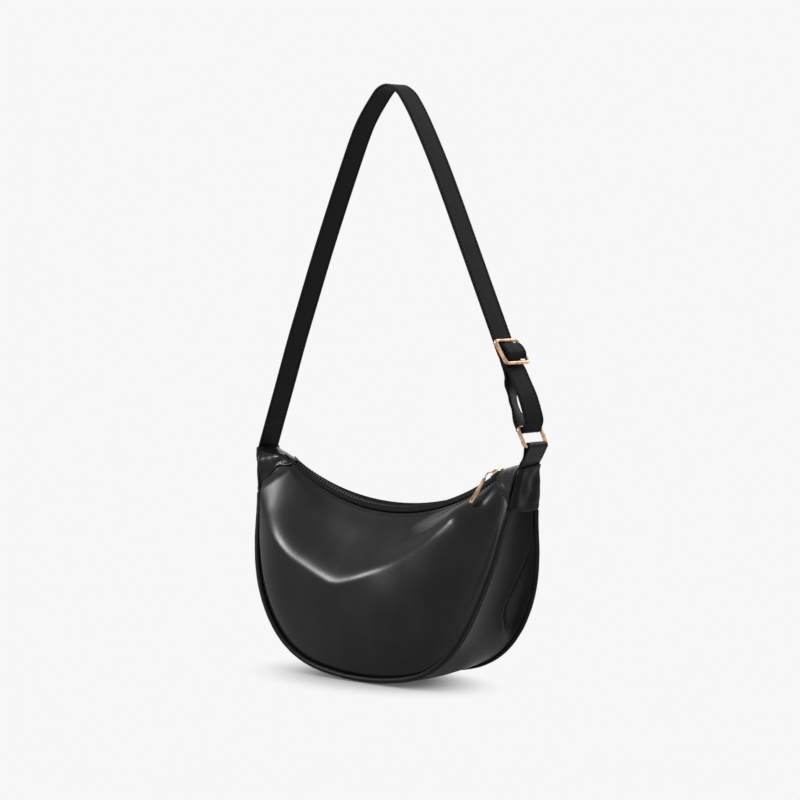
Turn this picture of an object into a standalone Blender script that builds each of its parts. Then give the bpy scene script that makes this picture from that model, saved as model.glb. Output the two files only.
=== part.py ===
"""Half moon leather shoulder bag with a zipped mouth and one adjustable strap.

Metres, +Z up. The origin is on the floor under the middle of the bag, the front is -Y and the
bag's width runs along X. The strap is worn flat, so its width runs along Y.
"""
import math

import bmesh
import bpy
from mathutils import Matrix, Vector

# Leather and clearances
LEATHER = 0.0014
LINING = 0.0005
GAP = 0.0003
LINING_INSET = 0.0022

# Body seam: half width and height of the U shaped seam that holds the piping
SEAM_HALF_WIDTH = 0.1422
SEAM_TOP = 0.165
SEAM_LOW = 0.0033
SEAM_X_SHARES = (0.0, 0.16, 0.343, 0.477, 0.600, 0.702, 0.788, 0.865, 0.927, 0.962, 1.0)
SEAM_Z_SHARES = (0.0, 0.006, 0.030, 0.066, 0.128, 0.215, 0.326, 0.474, 0.660, 0.845, 1.0)
SEAM_STEPS = 40

# Depth between the seams, as shares of the deepest, against shares of the seam's height
BODY_HALF_DEPTH = 0.0423
DEPTH_HEIGHT_SHARES = (0.0, 0.24, 0.48, 0.73, 0.97, 1.15)
DEPTH_SHARES = (1.0, 1.0, 0.903, 0.674, 0.428, 0.330)

# Panels
PANEL_ROWS = 9
FRONT_BULGE = 0.0215
BACK_BULGE = 0.0235
BULGE_HEIGHT_SHARE = 0.85
BULGE_WIDTH_SHARE = 0.7

# Piping
PIPING_RADIUS = 0.0028
PIPING_TOP = 0.1545
PIPING_BEVEL_STEPS = 1

# Gusset: how far it drops below the seam under the bag, and how far it is drawn in at the sides
FOOT_DROP = 0.0062
SIDE_TUCK = 0.005
UNDER_POWER_SHARE = 6
GUSSET_COLUMNS = 8

# Mouth: its reach to each side, and three arcs seen from the front, each with its radius, middle and
# lowest height
MOUTH_LEFT = 0.118
MOUTH_RIGHT = 0.1225
MOUTH_STEPS = 24
MOUTH_SEAM_Y = 0.0095
FRONT_ARC_RADIUS = 0.202
FRONT_ARC_X = 0.006
FRONT_ARC_LOW = 0.1446
BACK_ARC_RADIUS = 0.250
BACK_ARC_X = 0.0
BACK_ARC_LOW = 0.150
ZIP_ARC_RADIUS = 0.205
ZIP_ARC_LOW = 0.1482

# Zip
TAPE_THICKNESS = 0.0006
TAPE_EDGE_Y = 0.0034
TAPE_LIFT = 0.0007
TOOTH_PITCH = 0.0034
TOOTH_LENGTH = 0.0016
TOOTH_WIDTH = 0.0020
BEAD_WIDTH = 0.0008
TOOTH_HEIGHT = 0.0016
TOOTH_CLEAR = 0.0006
TEETH_LEFT_GAP = 0.0080
TEETH_RIGHT_GAP = 0.0043
STOP_LENGTH = 0.0024

# Slider: two plates on a thin post that runs between the rows of teeth
SLIDER_END_GAP = 0.0088
SLIDER_LENGTH = 0.0105
SLIDER_HALF_WIDTH = 0.0030
SLIDER_UNDER_HALF_WIDTH = 0.0023
SLIDER_PLATE = 0.0008
SLIDER_POST = 0.0006
BRIDGE_RADIUS = 0.0005
BRIDGE_LENGTH = 0.0070
PULL_WIRE = 0.0004
PULL_EYE_RADIUS = 0.0014
PULL_WIDTH = 0.0048
PULL_LENGTH = 0.0245
PULL_THICKNESS = 0.0014
PULL_SLOT_WIDTH = 0.0018
PULL_SLOT_LENGTH = 0.0095
PULL_NECK = 0.0036
PULL_KNEE_Y = 0.0115
PULL_KNEE_RISE = 0.0025
PULL_LINK = 0.0050
PULL_LINK_WIRE = 0.0006
PULL_LINK_STEPS = 10
PULL_ALONG_SHARE = 0.63
PULL_OUT_SHARE = 0.52
PULL_DOWN_SHARE = 0.575

# Corners: a saddle of leather over each end of the mouth, and a cap over the end of the gusset
SADDLE_OVERHANG = 0.0015
SADDLE_LIFT = 0.0027
SADDLE_OUTER = 0.1442
SADDLE_SIDE_Y = 0.0144
SADDLE_SIDE_Z = 0.1880
SADDLE_TOP = 0.1920
SADDLE_CLEAR = 0.0009
SADDLE_SHOULDER_SHARE = 0.7
SADDLE_STEPS = 6
SADDLE_COLUMNS = 12
CAP_HEM = 0.1552
CAP_TOP = 0.1925
CAP_HEM_X = 0.1452
CAP_TOP_X = 0.1503
CAP_HEM_Y = 0.0187
CAP_TOP_Y = 0.0144
CAP_EDGE_LOW_X = 0.1389
CAP_EDGE_TOP_X = 0.1459
CAP_EDGE_HEIGHT_SHARES = (0.0, 0.327, 0.879, 1.0)
CAP_EDGE_SHARES = (0.0, 0.257, 0.857, 1.0)
CAP_ROUND = 0.0016
CAP_STEPS = 5

# Strap
STRAP_WIDTH = 0.025
STRAP_THICKNESS = 0.0022
STRAP_STEPS = 56
FOOT_LENGTH = 0.028
ROOT_LOW = (-0.1448, 0.1760)
ROOT_TOP = (-0.1471, 0.1925)

# Adjuster, a slide with three bars
SLIDE_WIRE = 0.0017
SLIDE_BAR = 0.0015
SLIDE_WIDTH = 0.0300
SLIDE_CORNER = 0.0024
SLIDE_MIDDLE = (0.1240, 0.2842)
SLIDE_HALF_LENGTH = 0.0108
SLIDE_TOP_OUT = 0.0033
SLIDE_END_OUT = 0.0071
WEAVE_ALONG_SHARES = (-0.66, -0.50, -0.25, 0.0, 0.25, 0.47, 0.64)
WEAVE_OUT_SHARES = (0.05, 0.60, 0.88, 0.95, 0.90, 0.62, 0.05)

# Ring and its tab
RING_WIRE = 0.0017
RING_WIDTH = 0.0300
RING_CORNER = 0.0030
RING_TOP_BAR = (0.1465, 0.2242)
RING_LOW_BAR = (0.1541, 0.2092)
TURN_CLEAR = 0.0010
TAB_THICKNESS = 0.0012
TAB_GAP = 0.0004

# Strap loop under the adjuster: the running ply outside, the returning ply inside. Each place is a
# pair of shares of the loop's length: along from the ring's top bar to the loop's top, and outward
LOOP_TOP = (0.1336, 0.2712)
OUTER_PLY_SHARES = ((0.791, 0.049), (0.529, 0.111), (0.278, 0.136), (0.086, 0.136))
INNER_PLY_SHARES = ((0.214, -0.097), (0.480, -0.096), (0.720, -0.081), (0.866, -0.071))
RETURN_PLY_SHARES = ((0.877, -0.070), (1.0, -0.070), (1.129, -0.114), (1.223, -0.147))
LOOP_STEPS = 44
RETURN_STEPS = 4

# Strap route from the left corner over the shoulder to the top of its straight right leg, which the
# adjuster slides on, as shares of the strap's half span and of its rise
STRAP_HALF_SPAN = 0.1472
STRAP_BASE = 0.1933
STRAP_TOP = 0.5110
STRAP_SHARES = (
    (-1.0, 0.0), (-0.940, 0.076), (-0.849, 0.190), (-0.759, 0.304), (-0.663, 0.417), (-0.567, 0.529),
    (-0.467, 0.640), (-0.365, 0.749), (-0.260, 0.857), (-0.196, 0.911), (-0.110, 0.963), (-0.048, 0.992),
    (0.020, 1.0), (0.088, 0.984), (0.136, 0.959), (0.211, 0.905), (0.336, 0.797), (0.446, 0.690),
)
LEG_SHARES = (0.2, 0.4, 0.6, 0.8, 0.9, 1.0)

# Ring tab, from inside the corner up and round the ring's lower bar
TAB_ROOT = (0.1456, 0.1800)
TAB_MOUTH = (0.1471, 0.1925)
TAB_BEND = (0.1512, 0.2000)

TOP = Vector((0, 0, 1))
DEPTH = Vector((0, 1, 0))


def clear_scene():
    for obj in list(bpy.data.objects):
        bpy.data.objects.remove(obj)


def material(name, colour, roughness, metallic):
    made = bpy.data.materials.new(name)
    made.use_nodes = True
    shader = made.node_tree.nodes["Principled BSDF"]
    shader.inputs["Base Color"].default_value = (*colour, 1)
    shader.inputs["Roughness"].default_value = roughness
    shader.inputs["Metallic"].default_value = metallic
    return made


def leather(name):
    return material(name, (0.012, 0.012, 0.013), 0.42, 0)


def strap_leather(name):
    return material(name, (0.010, 0.010, 0.011), 0.60, 0)


def gold(name):
    return material(name, (0.83, 0.60, 0.42), 0.25, 1)


def plastic(name):
    return material(name, (0.02, 0.02, 0.021), 0.30, 0)


def cloth(name):
    return material(name, (0.03, 0.03, 0.035), 0.85, 0)


def add_object(name, data, look, collection):
    obj = bpy.data.objects.new(name, data)
    obj.data.materials.append(look)
    collection.objects.link(obj)
    return obj


def blend_tables(value, places, values):
    """The value at a place in a table of places and values, straight between them."""
    for low, high, a, b in zip(places, places[1:], values, values[1:]):
        if value <= high:
            return a + (b - a) * max(0, value - low) / (high - low)
    return values[-1]


def smooth_path(points, steps):
    """A smooth curve through the points, as steps + 1 places at even distances along it."""
    points = [Vector(p) for p in points]
    ends = [2 * points[0] - points[1], *points, 2 * points[-1] - points[-2]]
    fine = [points[0]]
    pieces = 24
    for a, b, c, d in zip(ends, ends[1:], ends[2:], ends[3:]):
        for i in range(1, pieces + 1):
            t = i / pieces
            fine.append((2 * b + (c - a) * t + (2 * a - 5 * b + 4 * c - d) * t ** 2
                         + (3 * b - 3 * c + d - a) * t ** 3) / 2)
    lengths = [0]
    for a, b in zip(fine, fine[1:]):
        lengths.append(lengths[-1] + (b - a).length)
    places = []
    j = 0
    for i in range(steps + 1):
        target = lengths[-1] * i / steps
        while j < len(fine) - 2 and lengths[j + 1] < target:
            j += 1
        share = (target - lengths[j]) / (lengths[j + 1] - lengths[j])
        places.append(fine[j].lerp(fine[j + 1], min(1, max(0, share))))
    return places


def sheet_mesh(name, rows):
    """An open sheet through rows of points, all rows of one length."""
    shape = bmesh.new()
    grid = [[shape.verts.new(p) for p in row] for row in rows]
    for low, high in zip(grid, grid[1:]):
        for a, b, c, d in zip(low, low[1:], high[1:], high):
            shape.faces.new((a, b, c, d))
    mesh = bpy.data.meshes.new(name)
    shape.to_mesh(mesh)
    shape.free()
    mesh.shade_smooth()
    return mesh


def add_sheet(name, rows, thickness, look, collection):
    """A sheet that Solidify thickens behind its face."""
    obj = add_object(name, sheet_mesh(name, rows), look, collection)
    solid = obj.modifiers.new("Solidify", "SOLIDIFY")
    solid.thickness = thickness
    solid.offset = -1
    return obj


def add_strip(name, points, width, thickness, look, collection):
    """A flat strap of this width along Y, whose middle follows the points."""
    half = thickness / 2
    rows = []
    for i, p in enumerate(points):
        before = points[max(0, i - 1)]
        after = points[min(len(points) - 1, i + 1)]
        out = (after - before).normalized().cross(DEPTH)
        face = p + out * half
        rows.append([face + DEPTH * width / 2, face - DEPTH * width / 2])
    return add_sheet(name, rows, thickness, look, collection)


def add_tube(name, points, radius, look, collection, bevel=2, closed=False):
    """A round tube along the points."""
    line = bpy.data.curves.new(name, "CURVE")
    line.dimensions = "3D"
    line.bevel_depth = radius
    line.bevel_resolution = bevel
    line.use_fill_caps = not closed
    path = line.splines.new("POLY")
    path.points.add(len(points) - 1)
    for point, place in zip(path.points, points):
        point.co = (*place, 1)
    path.use_cyclic_u = closed
    return add_object(name, line, look, collection)


def tube_as_mesh(obj, collection):
    """The tube again as a mesh with its caps welded, so that it can be cut and joined."""
    graph = bpy.context.evaluated_depsgraph_get()
    mesh = bpy.data.meshes.new_from_object(obj.evaluated_get(graph))
    shape = bmesh.new()
    shape.from_mesh(mesh)
    bmesh.ops.remove_doubles(shape, verts=shape.verts, dist=GAP / 100)
    shape.to_mesh(mesh)
    shape.free()
    name = obj.name
    bpy.data.objects.remove(obj)
    made = bpy.data.objects.new(name, mesh)
    collection.objects.link(made)
    return made


def box_into(shape, place, size):
    """A box of this size, whose middle and axes are given by a matrix."""
    frame = place @ Matrix.Diagonal((*size, 1))
    bmesh.ops.create_cube(shape, size=1, matrix=frame)


def union(obj, others):
    """Joins the other objects to the first with Boolean modifiers, and applies them."""
    for other in others:
        join = obj.modifiers.new("Join", "BOOLEAN")
        join.operation = "UNION"
        join.object = other
    bpy.context.view_layer.update()
    graph = bpy.context.evaluated_depsgraph_get()
    mesh = bpy.data.meshes.new_from_object(obj.evaluated_get(graph))
    obj.modifiers.clear()
    obj.data = mesh
    for other in others:
        bpy.data.objects.remove(other)
    return obj


def seam_point(share, side, inset=0):
    """A point of the piped seam, from the left corner under the bag to the right corner."""
    place = SEAM_LINE[round(share * SEAM_STEPS)]
    return Vector((place.x, side * (half_depth(place.z) - inset), place.z))


def half_depth(height):
    share = height / SEAM_TOP
    return BODY_HALF_DEPTH * blend_tables(share, DEPTH_HEIGHT_SHARES, DEPTH_SHARES)


def seam_line():
    rise = SEAM_TOP - SEAM_LOW
    right = [(SEAM_HALF_WIDTH * x, 0, SEAM_LOW + rise * z) for x, z in zip(SEAM_X_SHARES, SEAM_Z_SHARES)]
    left = [(-x, y, z) for x, y, z in reversed(right[1:])]
    return smooth_path(left + right, SEAM_STEPS)


SEAM_LINE = seam_line()


def arc_height(x, radius, middle, low):
    return low + radius - math.sqrt(radius ** 2 - (x - middle) ** 2)


def mouth_point(share, side):
    """A point of the seam at the mouth, from its left end to its right end."""
    x = MOUTH_RIGHT * share - MOUTH_LEFT * (1 - share)
    if side < 0:
        z = arc_height(x, FRONT_ARC_RADIUS, FRONT_ARC_X, FRONT_ARC_LOW)
    else:
        z = arc_height(x, BACK_ARC_RADIUS, BACK_ARC_X, BACK_ARC_LOW)
    return Vector((x, side * MOUTH_SEAM_Y, z))


def panel_point(share, rise, side):
    """A point of a panel's outer face: share runs along the seam, rise from it to the mouth."""
    foot = seam_point(share, side)
    top = mouth_point(share, side)
    step = 1 / SEAM_STEPS
    along = seam_point(min(1, share + step), side) - seam_point(max(0, share - step), side)
    away = top - foot
    away = (away - away.project(along)).normalized() * (PIPING_RADIUS + 2 * GAP)
    place = (foot + away).lerp(top, rise)
    bulge = FRONT_BULGE if side < 0 else BACK_BULGE
    across = math.sin(math.pi * share) ** BULGE_WIDTH_SHARE
    upward = math.sin(math.pi * rise ** BULGE_HEIGHT_SHARE)
    place.y += side * bulge * max(0, across) * max(0, upward)
    return place


def panel_rows(side, first_row=0, last_row=PANEL_ROWS, trim=0, step=1):
    shares = [i / SEAM_STEPS for i in range(trim, SEAM_STEPS + 1 - trim, step)]
    rows = []
    for j in range(first_row, last_row + 1):
        row = [panel_point(share, j / PANEL_ROWS, side) for share in shares]
        rows.append(row if side < 0 else row[::-1])
    return rows


def inset_rows(rows, distance):
    """The rows moved behind their own face by a distance."""
    moved = []
    for j, row in enumerate(rows):
        low = rows[max(0, j - 1)]
        high = rows[min(len(rows) - 1, j + 1)]
        new = []
        for i, place in enumerate(row):
            along = row[min(len(row) - 1, i + 1)] - row[max(0, i - 1)]
            up = high[i] - low[i]
            new.append(place - along.cross(up).normalized() * distance)
        moved.append(new)
    return moved


def add_panels(collection):
    for name, side in (("front_panel", -1), ("back_panel", 1)):
        add_sheet(name, panel_rows(side), LEATHER, leather(name), collection)


def add_linings(collection):
    for name, side in (("lining_front", -1), ("lining_back", 1)):
        rows = inset_rows(panel_rows(side, 1, PANEL_ROWS - 1, 2, 2), LINING_INSET)
        add_sheet(name, rows, LINING, cloth(name), collection)
    rows = inset_rows(gusset_rows(3, 1, 2), LINING_INSET)
    add_sheet("lining_gusset", rows, LINING, cloth("lining_gusset"), collection)


def gusset_rows(trim=0, margin=0, step=1):
    """Rows of the gusset's outer face, each from the front seam to the back seam."""
    rows = []
    for i in range(trim, SEAM_STEPS + 1 - trim, step):
        share = i / SEAM_STEPS
        before = SEAM_LINE[max(0, i - 1)]
        after = SEAM_LINE[min(SEAM_STEPS, i + 1)]
        out = (after - before).normalized().cross(-DEPTH)
        under = math.sin(math.pi * share) ** UNDER_POWER_SHARE
        swell = FOOT_DROP * under - SIDE_TUCK * (1 - under)
        row = []
        for j in range(margin, GUSSET_COLUMNS + 1 - margin):
            across = 2 * j / GUSSET_COLUMNS - 1
            edge = seam_point(share, 1, PIPING_RADIUS + GAP)
            place = Vector((edge.x, edge.y * across, edge.z)) + out * swell * (1 - across ** 2)
            place.z = max(0, place.z)
            row.append(place)
        rows.append(row)
    return rows


def add_gusset(collection):
    add_sheet("gusset", gusset_rows(), LEATHER, leather("gusset"), collection)


def below(points, height):
    """The stretch of a line that lies under a height, with its ends cut off there."""
    kept = []
    for a, b in zip(points, points[1:]):
        if (a.z < height) != (b.z < height):
            cut = a.lerp(b, (height - a.z) / (b.z - a.z))
            kept += [a, cut] if a.z < height else [cut]
        elif a.z < height:
            kept.append(a)
    return kept


def add_pipings(collection):
    for name, side in (("piping_front", -1), ("piping_back", 1)):
        points = [seam_point(i / SEAM_STEPS, side) for i in range(SEAM_STEPS + 1)]
        points = below(points, PIPING_TOP)
        add_tube(name, points, PIPING_RADIUS, leather(name), collection, PIPING_BEVEL_STEPS)


def zip_frame(angle):
    """The place and axes on the zip's arc at an angle from its lowest point."""
    along = Vector((math.cos(angle), 0, math.sin(angle)))
    up = Vector((-math.sin(angle), 0, math.cos(angle)))
    place = Vector((0, 0, ZIP_ARC_LOW + ZIP_ARC_RADIUS)) - up * ZIP_ARC_RADIUS
    axes = Matrix((along, DEPTH, up)).transposed().to_4x4()
    return Matrix.Translation(place) @ axes


def zip_angle(x):
    return math.asin(x / ZIP_ARC_RADIUS)


def zip_height(x):
    return arc_height(x, ZIP_ARC_RADIUS, 0, ZIP_ARC_LOW)


def add_tapes(collection):
    for name, side in (("zip_tape_front", -1), ("zip_tape_back", 1)):
        teeth_row = []
        seam_row = []
        for i in range(MOUTH_STEPS + 1):
            share = i / MOUTH_STEPS
            x = (MOUTH_RIGHT - GAP) * share - (MOUTH_LEFT - GAP) * (1 - share)
            inner = zip_frame(zip_angle(x)) @ Vector((0, side * TAPE_EDGE_Y, TAPE_THICKNESS / 2))
            outer = mouth_point(share, side)
            outer.y -= side * TAPE_LIFT
            outer.z += TAPE_LIFT + TAPE_THICKNESS
            teeth_row.append(inner)
            seam_row.append(outer)
        rows = [seam_row, teeth_row] if side < 0 else [teeth_row, seam_row]
        add_sheet(name, rows, TAPE_THICKNESS, cloth(name), collection)


def teeth_angles():
    return zip_angle(TEETH_LEFT_GAP - MOUTH_LEFT), zip_angle(MOUTH_RIGHT - TEETH_RIGHT_GAP)


def add_teeth(collection):
    """Each row is a bead along its tape's edge, with teeth that stand out from every other step."""
    first, last = teeth_angles()
    count = int((last - first) * ZIP_ARC_RADIUS / TOOTH_PITCH)
    half = TOOTH_HEIGHT / 2
    for name, side, start in (("zip_teeth_front", -1, 0), ("zip_teeth_back", 1, 0.5)):
        edge = side * (TOOTH_CLEAR + TOOTH_WIDTH)
        root = side * (TOOTH_CLEAR + TOOTH_WIDTH - BEAD_WIDTH)
        shape = bmesh.new()
        rings = []
        for i in range(2 * count):
            step = (i // 2 + start) * TOOTH_PITCH + (i % 2) * TOOTH_LENGTH
            frame = zip_frame(first + step / ZIP_ARC_RADIUS)
            corners = ((root, -half), (root, half), (edge, half), (edge, -half))
            rings.append([shape.verts.new(frame @ Vector((0, y, z))) for y, z in corners])
        teeth = []
        for i, (low, high) in enumerate(zip(rings, rings[1:])):
            for j in range(4):
                k = (j + 1) % 4
                face = shape.faces.new((low[j], high[j], high[k], low[k]))
                if j == 0 and i % 2 == 0:
                    teeth.append(face)
        shape.faces.new(rings[0])
        shape.faces.new(rings[-1][::-1])
        pushed = bmesh.ops.extrude_discrete_faces(shape, faces=teeth)["faces"]
        for face in pushed:
            bmesh.ops.translate(shape, verts=face.verts, vec=-DEPTH * side * (TOOTH_WIDTH - BEAD_WIDTH))
        bmesh.ops.recalc_face_normals(shape, faces=shape.faces)
        mesh = bpy.data.meshes.new(name)
        shape.to_mesh(mesh)
        shape.free()
        add_object(name, mesh, plastic(name), collection)


def add_stops(collection):
    first, last = teeth_angles()
    past = STOP_LENGTH / ZIP_ARC_RADIUS
    size = (STOP_LENGTH, 2 * (TOOTH_CLEAR + TOOTH_WIDTH), TOOTH_HEIGHT)
    for name, angle in (("zip_stop_left", first - past), ("zip_stop_right", last + past)):
        shape = bmesh.new()
        box_into(shape, zip_frame(angle), size)
        mesh = bpy.data.meshes.new(name)
        shape.to_mesh(mesh)
        shape.free()
        add_object(name, mesh, gold(name), collection)


def slider_frame():
    return zip_frame(zip_angle(MOUTH_RIGHT - SLIDER_END_GAP))


def plate_top():
    return TOOTH_HEIGHT / 2 + GAP + SLIDER_PLATE


def bridge_height():
    """Height of the bridge's bar over the zip, so that the pull's eye turns round it."""
    return plate_top() + GAP + PULL_EYE_RADIUS + PULL_WIRE


def box_object(name, place, size, collection):
    shape = bmesh.new()
    box_into(shape, place, size)
    mesh = bpy.data.meshes.new(name)
    shape.to_mesh(mesh)
    shape.free()
    obj = bpy.data.objects.new(name, mesh)
    collection.objects.link(obj)
    return obj


def move_origin(obj, frame):
    """Gives the object this frame as its origin, with its mesh left where it is."""
    obj.data.transform(frame.inverted() @ obj.matrix_world)
    obj.matrix_world = frame


def add_slider(collection):
    frame = slider_frame()
    level = plate_top() - SLIDER_PLATE / 2
    plate = (SLIDER_LENGTH, 2 * SLIDER_HALF_WIDTH, SLIDER_PLATE)
    under = (SLIDER_LENGTH, 2 * SLIDER_UNDER_HALF_WIDTH, SLIDER_PLATE)
    post = (SLIDER_LENGTH / 3, SLIDER_POST, 2 * level)
    slider = box_object("zip_slider", frame @ Matrix.Translation(TOP * level), plate, collection)
    lower = box_object("slider_lower", frame @ Matrix.Translation(-TOP * level), under, collection)
    nose = Matrix.Translation(Vector((SLIDER_LENGTH / 4, 0, 0)))
    middle = box_object("slider_post", frame @ nose, post, collection)
    half = BRIDGE_LENGTH / 2
    foot = plate_top() - SLIDER_PLATE / 2
    turn = BRIDGE_RADIUS * 2
    low = bridge_height() - turn
    high = bridge_height()
    flat = half - turn
    outline = ((-half, foot), (-half, low), (-flat, high), (flat, high), (half, low), (half, foot))
    points = [frame @ Vector((x, 0, z)) for x, z in outline]
    bridge = add_tube("slider_bridge", points, BRIDGE_RADIUS, gold("bridge"), collection)
    bridge = tube_as_mesh(bridge, collection)
    union(slider, (lower, middle, bridge))
    slider.data.materials.clear()
    slider.data.materials.append(gold("zip_slider"))
    slider.data.set_sharp_from_angle(angle=math.radians(40))
    move_origin(slider, Matrix.Translation(TOP * (ZIP_ARC_LOW + ZIP_ARC_RADIUS)))


def pull_outline():
    """The pull's plate seen flat: narrow at its neck, with a round end, and its slot."""
    neck = PULL_NECK / 2
    wide = PULL_WIDTH / 2
    outer = [(-neck, 0), (-wide, -PULL_LENGTH + 2 * wide)]
    for i in range(7):
        angle = math.pi + math.pi * i / 6
        outer.append((wide * math.cos(angle), -PULL_LENGTH + wide + wide * math.sin(angle)))
    outer += [(wide, -PULL_LENGTH + 2 * wide), (neck, 0)]
    slot = PULL_SLOT_WIDTH / 2
    low = -PULL_LENGTH + wide
    high = low + PULL_SLOT_LENGTH
    inner = [(-slot, low), (-slot, high), (slot, high), (slot, low)]
    return outer, inner


def flat_outline(name, outlines, thickness, collection):
    """A flat plate from a 2D curve with its outer outline and its holes."""
    line = bpy.data.curves.new(name, "CURVE")
    line.dimensions = "2D"
    line.fill_mode = "BOTH"
    line.extrude = thickness / 2
    for outline in outlines:
        path = line.splines.new("POLY")
        path.points.add(len(outline) - 1)
        for point, (x, y) in zip(path.points, outline):
            point.co = (x, y, 0, 1)
        path.use_cyclic_u = True
    obj = bpy.data.objects.new(name, line)
    collection.objects.link(obj)
    bpy.context.view_layer.update()
    return tube_as_mesh(obj, collection)


def pull_frame():
    """Origin and axes of the pull's eye, which turns round the bridge's bar."""
    return slider_frame() @ Matrix.Translation(TOP * bridge_height())


def add_pull(collection):
    frame = pull_frame()
    knee = Vector((0, -PULL_KNEE_Y, PULL_KNEE_RISE - bridge_height()))
    along = Vector((-PULL_ALONG_SHARE, -PULL_OUT_SHARE, -PULL_DOWN_SHARE)).normalized()
    face = Vector((0, -1, 1))
    face = (face - face.project(along)).normalized()
    across = (-along).cross(face)
    plate = flat_outline("pull_plate", pull_outline(), PULL_THICKNESS, collection)
    axes = Matrix((across, -along, face)).transposed().to_4x4()
    top = knee + along * PULL_LINK
    plate.data.transform(frame @ Matrix.Translation(top) @ axes)
    bpy.ops.mesh.primitive_torus_add(major_radius=PULL_EYE_RADIUS, minor_radius=PULL_WIRE,
                                     major_segments=14, minor_segments=6)
    eye = bpy.context.object
    eye.name = "zip_pull"
    for other in eye.users_collection:
        other.objects.unlink(eye)
    collection.objects.link(eye)
    eye.data.transform(frame @ Matrix.Rotation(math.pi / 2, 4, "Y"))
    edge = SLIDER_HALF_WIDTH + 2 * PULL_WIRE
    start = Vector((0, -PULL_EYE_RADIUS, 0))
    over = Vector((0, -edge - PULL_WIRE, -PULL_EYE_RADIUS / 2))
    inside = top + along * PULL_NECK
    points = [frame @ p for p in smooth_path((start, over, knee, top, inside), PULL_LINK_STEPS)]
    neck = add_tube("pull_neck", points, PULL_LINK_WIRE, gold("neck"), collection)
    bpy.context.view_layer.update()
    neck = tube_as_mesh(neck, collection)
    union(eye, (neck, plate))
    eye.data.materials.clear()
    eye.data.materials.append(gold("zip_pull"))
    move_origin(eye, frame)


def add_saddles(collection):
    """Leather that folds over each end of the mouth, from the front panel's edge to the back's."""
    corners = (("corner_saddle_left", 0, -1, MOUTH_LEFT), ("corner_saddle_right", 1, 1, MOUTH_RIGHT))
    for name, share, hand, end in corners:
        reach = end + SADDLE_OVERHANG
        inner_top = max(zip_height(end), mouth_point(share, -1).z) + SADDLE_LIFT
        lifted = Vector((hand, 0, 1)).normalized() * SADDLE_CLEAR
        rows = []
        for i in range(SADDLE_STEPS + 1):
            run = i / SADDLE_STEPS
            keys = []
            for side in (-1, 1):
                low = mouth_point(share, side).lerp(panel_point(share, 0, side), run) + lifted
                inner_y = side * MOUTH_SEAM_Y * SADDLE_SHOULDER_SHARE
                inner = Vector((hand * reach, inner_y, inner_top - LEATHER))
                outer = Vector((hand * SADDLE_OUTER, side * SADDLE_SIDE_Y, SADDLE_SIDE_Z))
                shoulder = inner.lerp(outer, run)
                keys.append([low, low.lerp(shoulder, 0.5), shoulder])
            inner = Vector((hand * reach, 0, inner_top))
            outer = Vector((hand * SADDLE_OUTER, 0, SADDLE_TOP))
            top = inner.lerp(outer, run)
            row = smooth_path((*keys[0], top, *reversed(keys[1])), SADDLE_COLUMNS)
            for place in row:
                place.x = hand * min(abs(place.x), abs(top.x))
            rows.append(row)
        if hand > 0:
            rows.reverse()
        add_sheet(name, rows, LEATHER, leather(name), collection)


def add_caps(collection):
    """Caps over the ends of the gusset, each a shallow tray turned outward."""
    for name, hand in (("side_cap_left", -1), ("side_cap_right", 1)):
        rows = []
        for i in range(CAP_STEPS + 1):
            run = i / CAP_STEPS
            z = CAP_HEM + (CAP_TOP - CAP_HEM) * run
            out = CAP_HEM_X + (CAP_TOP_X - CAP_HEM_X) * run
            lean = blend_tables(run, CAP_EDGE_HEIGHT_SHARES, CAP_EDGE_SHARES)
            edge = CAP_EDGE_LOW_X + (CAP_EDGE_TOP_X - CAP_EDGE_LOW_X) * lean
            wide = CAP_HEM_Y + (CAP_TOP_Y - CAP_HEM_Y) * run
            turn = CAP_ROUND * math.sqrt(0.5)
            half = [(edge, wide), (out - CAP_ROUND, wide), (out - CAP_ROUND + turn, wide - CAP_ROUND + turn),
                    (out, wide - CAP_ROUND)]
            rail = half + [(out, 0)] + [(x, -y) for x, y in reversed(half)]
            rows.append([Vector((hand * x, y, z)) for x, y in rail])
        if hand > 0:
            rows.reverse()
        add_sheet(name, rows, LEATHER, leather(name), collection)


def flat_place(place):
    x, z = place
    return Vector((x, 0, z))


def strap_route():
    """The strap's middle line in x and z, down to the top of the loop."""
    rise = STRAP_TOP - STRAP_BASE
    route = [Vector((STRAP_HALF_SPAN * x, 0, STRAP_BASE + rise * z)) for x, z in STRAP_SHARES]
    leg_top = route[-1]
    middle = flat_place(SLIDE_MIDDLE)
    end = flat_place(LOOP_TOP)
    return route, [leg_top.lerp(middle, share) for share in LEG_SHARES] + [middle.lerp(end, 0.5), end]


def loop_place(shares):
    """A place of the loop, from its shares of the loop's length."""
    along, out = shares
    bar = flat_place(RING_TOP_BAR)
    up = flat_place(LOOP_TOP) - bar
    return bar + up * along + DEPTH.cross(up) * out


def slide_place(along, out):
    """A place from the adjuster's middle, along the strap's leg and out from it."""
    start = strap_route()[0][-1]
    middle = flat_place(SLIDE_MIDDLE)
    down = (middle - start).normalized()
    return middle + down * along + DEPTH.cross(down) * -out


def bar_loop(a, b, half, corner):
    """A closed rectangle of wire between two bars along Y, with its corners rounded."""
    along = (b - a).normalized() * corner
    points = []
    for side in (-1, 1):
        y = DEPTH * side * half
        turn = DEPTH * side * corner
        ends = ((a, along), (b, -along)) if side > 0 else ((b, -along), (a, along))
        for order, (end, step) in enumerate(ends):
            first = end + y - turn
            second = end + y + step
            middle = end + y + (step - turn) * (1 - math.sqrt(0.5))
            points += [first, middle, second] if order == 0 else [second, middle, first]
    return points


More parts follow.
